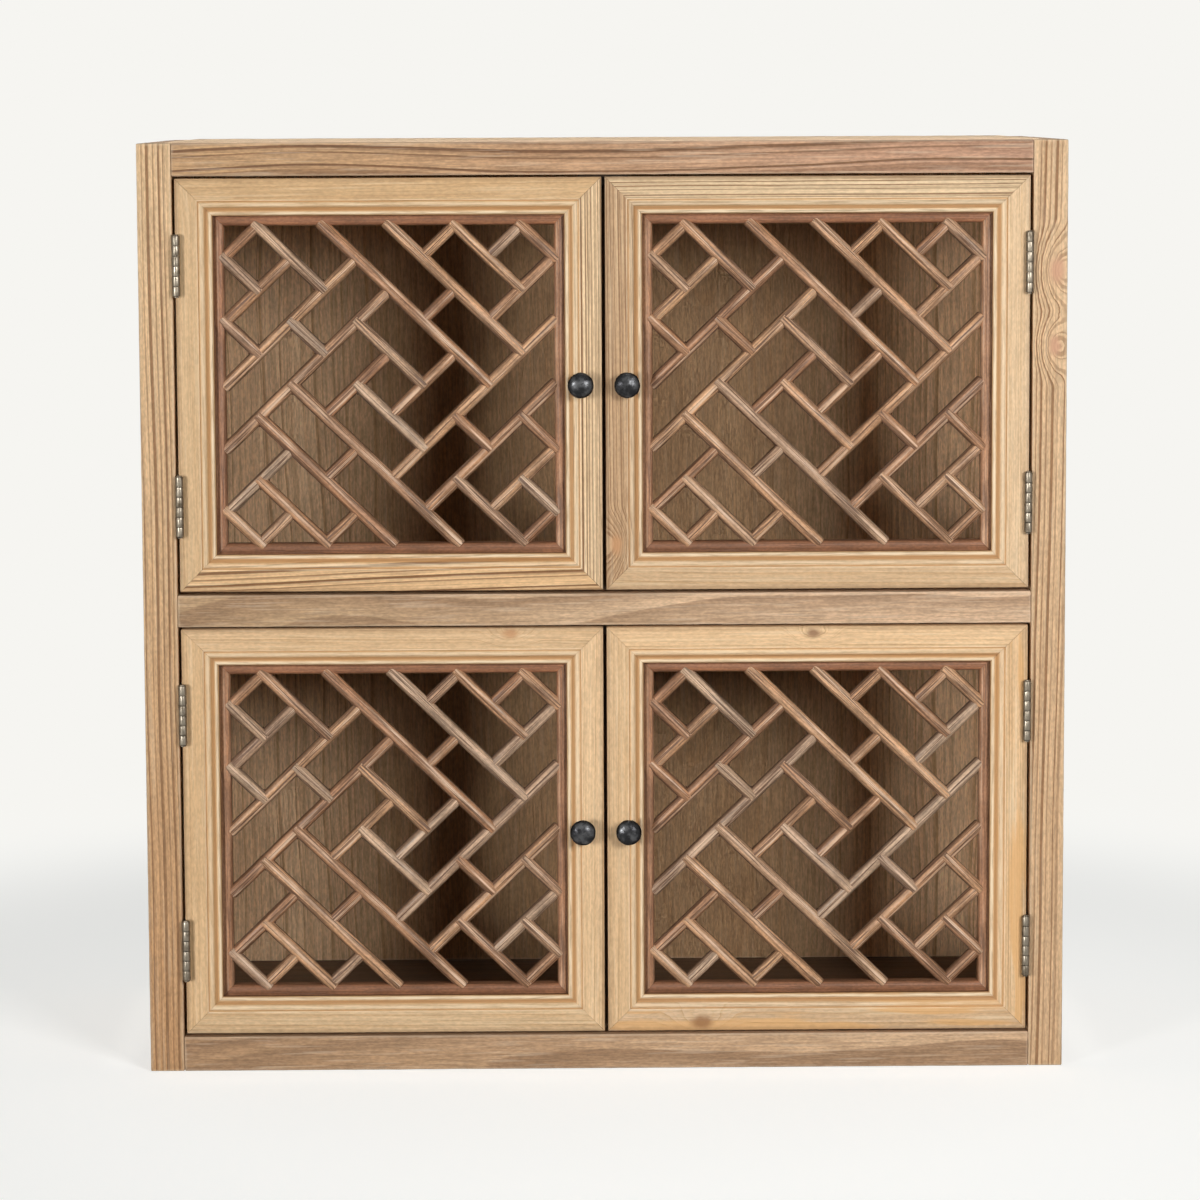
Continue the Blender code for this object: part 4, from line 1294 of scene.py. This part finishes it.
def aged_nickel(name):
    """Nickel plate, dulled and browned by age."""
    material, tree, shader = new_finish(name, metallic=1.0)
    place = own_place(tree)
    tarnish = cloud(tree, place, *tarnish_noise)[0]
    brushing = cloud(tree, place, *brushing_noise)[0]
    colour = mixed(tree, ranged(tree, tarnish, *tarnish_limits), nickel_tone, tarnish_tone)
    dullness = ranged(tree, tarnish, *nickel_dullness)
    coat(tree, shader, colour, dullness, brushing, brushing_relief, brushing_strength)
    return material


def add_drum(name, radius, low, high, axis, sides, rounding):
    """A drum between two points along an axis, with rounded rims."""
    low = Vector(low)
    high = Vector(high)
    bpy.ops.object.select_all(action="DESELECT")
    bpy.ops.mesh.primitive_cylinder_add(
        vertices=sides, radius=radius, depth=(high - low).length, location=(low + high) / 2
    )
    drum = named(bpy.context.object, name)
    drum.rotation_euler = Vector(axis).to_track_quat("Z", "Y").to_euler()
    settle()
    bpy.ops.object.mode_set(mode="EDIT")
    axis = Vector(axis)
    select_faces(drum, lambda centre, normal: abs(normal.dot(axis)) > square_on)
    bpy.ops.mesh.bevel(offset=rounding, segments=round_steps, affect="EDGES")
    bpy.ops.object.mode_set(mode="OBJECT")
    return drum


def thin_plate(name, low, high, axis, rounding):
    """A plate that is thin along an axis, with rounded corners."""
    plate = add_block(name, low, high)
    bpy.ops.object.mode_set(mode="EDIT")
    select_long_edges(plate, axis, (high[axis] - low[axis]) / 2)
    bpy.ops.mesh.bevel(offset=rounding, segments=round_steps, affect="EDGES")
    bpy.ops.object.mode_set(mode="OBJECT")
    return plate


def upright_drum(name, radius, pin, start, end, sides, rounding):
    """A drum about a hinge's pin, from one height to another."""
    return add_drum(name, radius, (pin.x, pin.y, start), (pin.x, pin.y, end), (0, 0, 1), sides, rounding)


def slotted_screw(name, place, axis):
    """A countersunk screw's head, with a slot sawn across it."""
    place = Vector(place)
    axis = Vector(axis)
    top = place + axis * screw_proud
    head = add_drum(name, screw_radius, place - axis * screw_depth, top, axis, screw_sides, screw_round)
    bpy.ops.object.mode_set(mode="EDIT")
    for offset in (-slot_half, slot_half):
        bpy.ops.mesh.select_all(action="SELECT")
        bpy.ops.mesh.bisect(plane_co=place + Vector((0.0, 0.0, offset)), plane_no=(0.0, 0.0, 1.0))
    select_faces(
        head,
        lambda centre, normal: normal.dot(axis) > square_on
        and abs((centre - top).dot(axis)) < screw_proud / 2
        and abs(centre.z - place.z) < slot_half,
    )
    push(-axis * slot_depth)
    bpy.ops.object.mode_set(mode="OBJECT")
    return head


def hinge_leaf(name, side, box_low, box_high, pin, first, with_pin):
    """One leaf with its three knuckles and screws, where its CAD node is."""
    radius = pin.y - box_low.y
    pitch = (box_high.z - box_low.z) / knuckle_count
    low_z = pin.z - pitch * knuckle_count / 2
    top_z = low_z + knuckle_count * pitch
    plate_near, plate_far = post_plate if with_pin else door_plate
    xs = sorted((pin.x + side * plate_near, pin.x + side * plate_far))
    plate_low = (xs[0], pin.y + radius + plate_lead, low_z)
    plate_high = (xs[1], box_high.y, top_z)
    pieces = [thin_plate("plate", plate_low, plate_high, 0, leaf_round)]
    for knuckle in range(first, knuckle_count, 2):
        start = low_z + knuckle * pitch + knuckle_gap
        end = low_z + (knuckle + 1) * pitch - knuckle_gap
        pieces.append(upright_drum("knuckle", radius, pin, start, end, knuckle_sides, knuckle_round))
        tab_low = (xs[0], pin.y + tab_lead, start + tab_trim)
        tab_high = (xs[1], pin.y + radius + tab_reach, end - tab_trim)
        pieces.append(add_block("tab", tab_low, tab_high))
    if with_pin:
        for sunk_z, proud_z in (
            (low_z - pin_end_sunk, low_z - pin_end_proud),
            (top_z - pin_end_sunk, top_z + pin_end_proud),
        ):
            pieces.append(
                upright_drum("pin_end", pin_end_radius, pin, sunk_z, proud_z, pin_end_sides, pin_end_round)
            )
        pieces.append(
            upright_drum("pin", hinge_pin_radius, pin, low_z, top_z, hinge_pin_sides, hinge_pin_round)
        )
    facing = -side if with_pin else side
    face_x = pin.x + side * (plate_far if with_pin else plate_near)
    for share in screw_row:
        spot = (face_x, pin.y + screw_from_pin, pin.z + share * knuckle_count * pitch)
        pieces.append(slotted_screw("screw", spot, (facing, 0, 0)))
    leaf = join_pieces(pieces, name)
    bpy.ops.object.shade_smooth_by_angle(angle=smooth_below)
    return leaf


nickel = aged_nickel("hinge_nickel")
joint_places = {joint["child"]: Vector(joint["pos_m"]) for joint in frame["joints"]}
for row, side_name in door_box:
    side = -1 if side_name == "left" else 1
    door = f"{row}_{side_name}_door"
    for end in ("top", "bottom"):
        for kind, first, body in (("post", 0, "carcass"), ("door", 1, door)):
            node = f"{row}_{side_name}_{end}_{kind}_leaf"
            low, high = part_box(node)
            pin = joint_places[door].copy()
            post_low, post_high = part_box(f"{row}_{side_name}_{end}_post_leaf")
            pin.z = (post_low.z + post_high.z) / 2
            low = Vector((low.x, low.y, post_low.z))
            high = Vector((high.x, high.y, post_high.z))
            leaf = hinge_leaf(f"{node}_metal", side, low, high, pin, first, kind == "post")
            fit(leaf, nickel, "aged_nickel", body, node)


# Knobs
# Black cast iron knobs with a low domed head, a thin neck and a collar against the wood. The head is
# slightly hammered, and rubbed to a soft sheen where fingers touch it.

knob_steps = 48
knob_smooth = math.radians(60)
dome_steps = 9
dome_radius = 0.0126
dome_base = 0.0155
dome_height = 0.0062
under_dome = (
    (0.0128, 0.0149), (0.0126, 0.0141), (0.0112, 0.0131), (0.0080, 0.0118), (0.0056, 0.0104),
    (0.0046, 0.0090), (0.0043, 0.0070), (0.0045, 0.0046), (0.0052, 0.0030), (0.0060, 0.0021),
    (0.0062, 0.0014), (0.0060, 0.0004), (0.0020, 0.0004), (0.0020, -0.0100), (0.0, -0.0100),
)
weld = 0.000001
hammer_size = 0.0060
hammer_height = 0.0009
cast_noise = ((420.0, 420.0, 420.0), 4.0, 0.6)
cast_relief = 0.0004
cast_strength = 0.35
sheen_noise = ((110.0, 110.0, 110.0), 3.0)
sheen_limits = (0.42, 0.70)
iron_metal = 0.85
iron_tone = (0.022, 0.022, 0.0235)
sheen_tone = (0.085, 0.086, 0.089)
iron_tint = (0.34, 0.34, 0.35, 1.0)
iron_dullness = (0.24, 0.42)


def turned_shape(name, profile, centre, steps):
    """A shape turned about the depth axis, from a profile of radius and height above the door."""
    points = [(centre.x + radius, centre.y - height, centre.z) for radius, height in profile]
    piece = draw_outline(name, points, filled=False)
    bpy.ops.mesh.spin(steps=steps, angle=math.radians(360), center=centre, axis=(0.0, 1.0, 0.0))
    bpy.ops.mesh.select_all(action="SELECT")
    bpy.ops.mesh.remove_doubles(threshold=weld)
    bpy.ops.mesh.normals_make_consistent(inside=False)
    bpy.ops.object.mode_set(mode="OBJECT")
    return piece


def knob_profile():
    """Radius and height above the door, from the top of the dome to the end of the stud."""
    points = []
    for step in range(dome_steps + 1):
        angle = math.pi / 2 * step / dome_steps
        points.append((dome_radius * math.sin(angle), dome_base + dome_height * math.cos(angle)))
    points += under_dome
    return points


def black_iron(name):
    """Blackened cast iron with a waxed sheen, paler where it is rubbed."""
    material, tree, shader = new_finish(name, metallic=iron_metal)
    place = own_place(tree)
    cast = cloud(tree, place, *cast_noise)[0]
    rubbed = cloud(tree, place, *sheen_noise)[0]
    colour = mixed(tree, ranged(tree, rubbed, *sheen_limits), iron_tone, sheen_tone)
    dullness = ranged(tree, cast, *noise_limits, *iron_dullness)
    shader.inputs["Specular Tint"].default_value = iron_tint
    coat(tree, shader, colour, dullness, cast, cast_relief, cast_strength)
    return material


iron = black_iron("knob_iron")
for row, side in door_box:
    node = f"{row}_{side}_knob"
    low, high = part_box(node)
    centre = (low + high) / 2
    centre.y = door_box[row, side][0].y
    knob = turned_shape(f"{node}_iron", knob_profile(), centre, knob_steps)
    rub(knob, hammer_height, hammer_size)
    bpy.ops.object.shade_smooth_by_angle(angle=knob_smooth)
    fit(knob, iron, "black_iron", f"{row}_{side}_door", node)


# Strike plates and lattice pins
# A thin steel strike plate, let into the back of each door, meets the magnet of the catch. Small pins
# driven in from behind keep the lattice in its rebate.

strike_size = (0.018, 0.0006, 0.009)
strike_from_edge = 0.013
strike_from_top = 0.0068
strike_round = 0.0015
pin_radius = 0.0011
pin_sides = 10
pin_round = 0.0003
pin_proud = 0.0001
pin_sunk = 0.0008
pin_inset = 0.005
pin_shares = (0.12, 0.5, 0.88)
for row, side in door_box:
    low, high = door_box[row, side]
    meeting_x = high.x - strike_from_edge if side == "left" else low.x + strike_from_edge
    back = high.y + pin_proud
    strike_z = high.z - strike_from_top
    strike_low = (meeting_x - strike_size[0] / 2, back - strike_size[1], strike_z - strike_size[2] / 2)
    strike_high = (meeting_x + strike_size[0] / 2, back, strike_z + strike_size[2] / 2)
    pieces = [thin_plate("strike", strike_low, strike_high, 1, strike_round)]
    lattice_low, lattice_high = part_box(f"{row}_{side}_lattice")
    span = lattice_high - lattice_low
    for share in pin_shares:
        across = lattice_low.x + span.x * share
        up = lattice_low.z + span.z * share
        for x, z in (
            (across, lattice_low.z + pin_inset),
            (across, lattice_high.z - pin_inset),
            (lattice_low.x + pin_inset, up),
            (lattice_high.x - pin_inset, up),
        ):
            top = (x, lattice_high.y + pin_proud, z)
            foot = (x, lattice_high.y - pin_sunk, z)
            pieces.append(add_drum("pin", pin_radius, foot, top, (0, 1, 0), pin_sides, pin_round))
    fittings = join_pieces(pieces, f"{row}_{side}_back_fittings")
    bpy.ops.object.shade_smooth_by_angle(angle=smooth_below)
    fit(fittings, nickel, "aged_nickel", f"{row}_{side}_door")


# Studio
# A pale floor that takes a faint shadow, a pale surround that is brighter behind the cabinet, a softbox
# to the right, a tall reflector to the left and a small lamp over the top. The camera stands just above
# the height of the cabinet's top.

backdrop = (0.922, 0.913, 0.880)
ambient_front = 0.03
ambient_behind = 1.00
behind_limits = (-0.1, 0.5)
overhead_limits = (0.10, 0.45)
overhead_share = 0.15
floor_colour = (0.890, 0.904, 0.896)
floor_reach = 60.0
floor_drop = 0.0004
floor_dullness = 0.9
floor_glow = 0.725
floor_shade = 0.71
floor_fade = (0.6, 1.6)
floor_bounce = (0.16, 0.155, 0.15)


def seen_outright(tree):
    """One for rays from the camera, from a gloss or through glass, which see the pale set as it is."""
    ray = tree.nodes.new("ShaderNodeLightPath")
    seen = reckon(tree, "MAXIMUM", ray.outputs["Is Camera Ray"], ray.outputs["Is Transmission Ray"])
    return reckon(tree, "MAXIMUM", seen, ray.outputs["Is Glossy Ray"])


def chosen(tree, share, first, second, output):
    """Sends one of two shaders to an output, by a share."""
    choice = tree.nodes.new("ShaderNodeMixShader")
    tree.links.new(share, choice.inputs[0])
    tree.links.new(first.outputs[0], choice.inputs[1])
    tree.links.new(second.outputs[0], choice.inputs[2])
    tree.links.new(choice.outputs[0], output.inputs["Surface"])


bpy.ops.object.select_all(action="DESELECT")
bpy.ops.mesh.primitive_plane_add(size=floor_reach, location=(0.0, 0.0, -floor_drop))
floor = named(bpy.context.object, "studio_floor")
floor_finish, tree, shader = new_finish("studio_floor", gloss=0.0)
shader.inputs["Roughness"].default_value = floor_dullness
place = own_place(tree)
far = ranged(tree, steer(tree, "LENGTH", place), *floor_fade)
shaded = tuple(floor_shade * part for part in backdrop)
tree.links.new(mixed(tree, far, shaded, (0.0, 0.0, 0.0)), shader.inputs["Base Color"])
tree.links.new(mixed(tree, far, floor_colour, backdrop), shader.inputs["Emission Color"])
tree.links.new(ranged(tree, far, 0.0, 1.0, floor_glow, 1.0), shader.inputs["Emission Strength"])
dull = tree.nodes.new("ShaderNodeBsdfDiffuse")
dull.inputs["Color"].default_value = (*floor_bounce, 1.0)
chosen(tree, seen_outright(tree), dull, shader, tree.nodes["Material Output"])
floor.data.materials.append(floor_finish)

scene = bpy.context.scene
scene.view_settings.view_transform = "Standard"
world = bpy.data.worlds.new("studio")
scene.world = world
world.use_nodes = True
tree = world.node_tree
tree.nodes.clear()
pale = tree.nodes.new("ShaderNodeBackground")
pale.inputs["Color"].default_value = (*backdrop, 1.0)
dim = tree.nodes.new("ShaderNodeBackground")
dim.inputs["Color"].default_value = (*backdrop, 1.0)
x, y, z = parted(tree, tree.nodes.new("ShaderNodeTexCoord").outputs["Generated"])
behind = ranged(tree, y, *behind_limits, ambient_front, ambient_behind)
low_down = ranged(tree, z, *overhead_limits, 1.0, overhead_share)
tree.links.new(times(tree, behind, low_down), dim.inputs["Strength"])
chosen(tree, seen_outright(tree), dim, pale, tree.nodes.new("ShaderNodeOutputWorld"))

front_middle = Vector((0.0, -0.2, 0.5))
top_middle = Vector((0.0, 0.0, 0.932))
for name, place, aim, width, height, spread, power in (
    ("key_light", (1.63, -3.35, 1.38), front_middle, 1.1, 1.0, 180.0, 84.5),
    ("fill_light", (-7.75, -10.2, 0.90), front_middle, 2.2, 3.5, 180.0, 1250.0),
    ("top_light", (0.0, 0.0, 1.60), top_middle, 0.90, 0.37, 6.0, 0.86),
):
    lamp = bpy.data.lights.new(name, "AREA")
    lamp.shape = "RECTANGLE"
    lamp.size = width
    lamp.size_y = height
    lamp.energy = power
    lamp.spread = math.radians(spread)
    light = bpy.data.objects.new(name, lamp)
    light.location = place
    light.rotation_euler = (aim - Vector(place)).to_track_quat("-Z", "Y").to_euler()
    light.visible_camera = False
    scene.collection.objects.link(light)

lens_length = 121.17
sensor_width = 36.0
lens_shift = -0.06
camera_place = (-0.0421, -4.2, 0.970)
camera_turn = -0.540
camera_dip = 6.011
camera_roll = -0.261
lens = bpy.data.cameras.new("camera")
lens.lens = lens_length
lens.sensor_width = sensor_width
lens.shift_y = lens_shift
camera = bpy.data.objects.new("camera", lens)
camera.location = camera_place
level = Matrix.Rotation(math.radians(camera_turn), 3, "Z")
tilt = Matrix.Rotation(math.radians(90.0 - camera_dip), 3, "X")
roll = Matrix.Rotation(math.radians(camera_roll), 3, "Z")
camera.rotation_euler = (level @ tilt @ roll).to_euler()
scene.collection.objects.link(camera)
scene.camera = camera
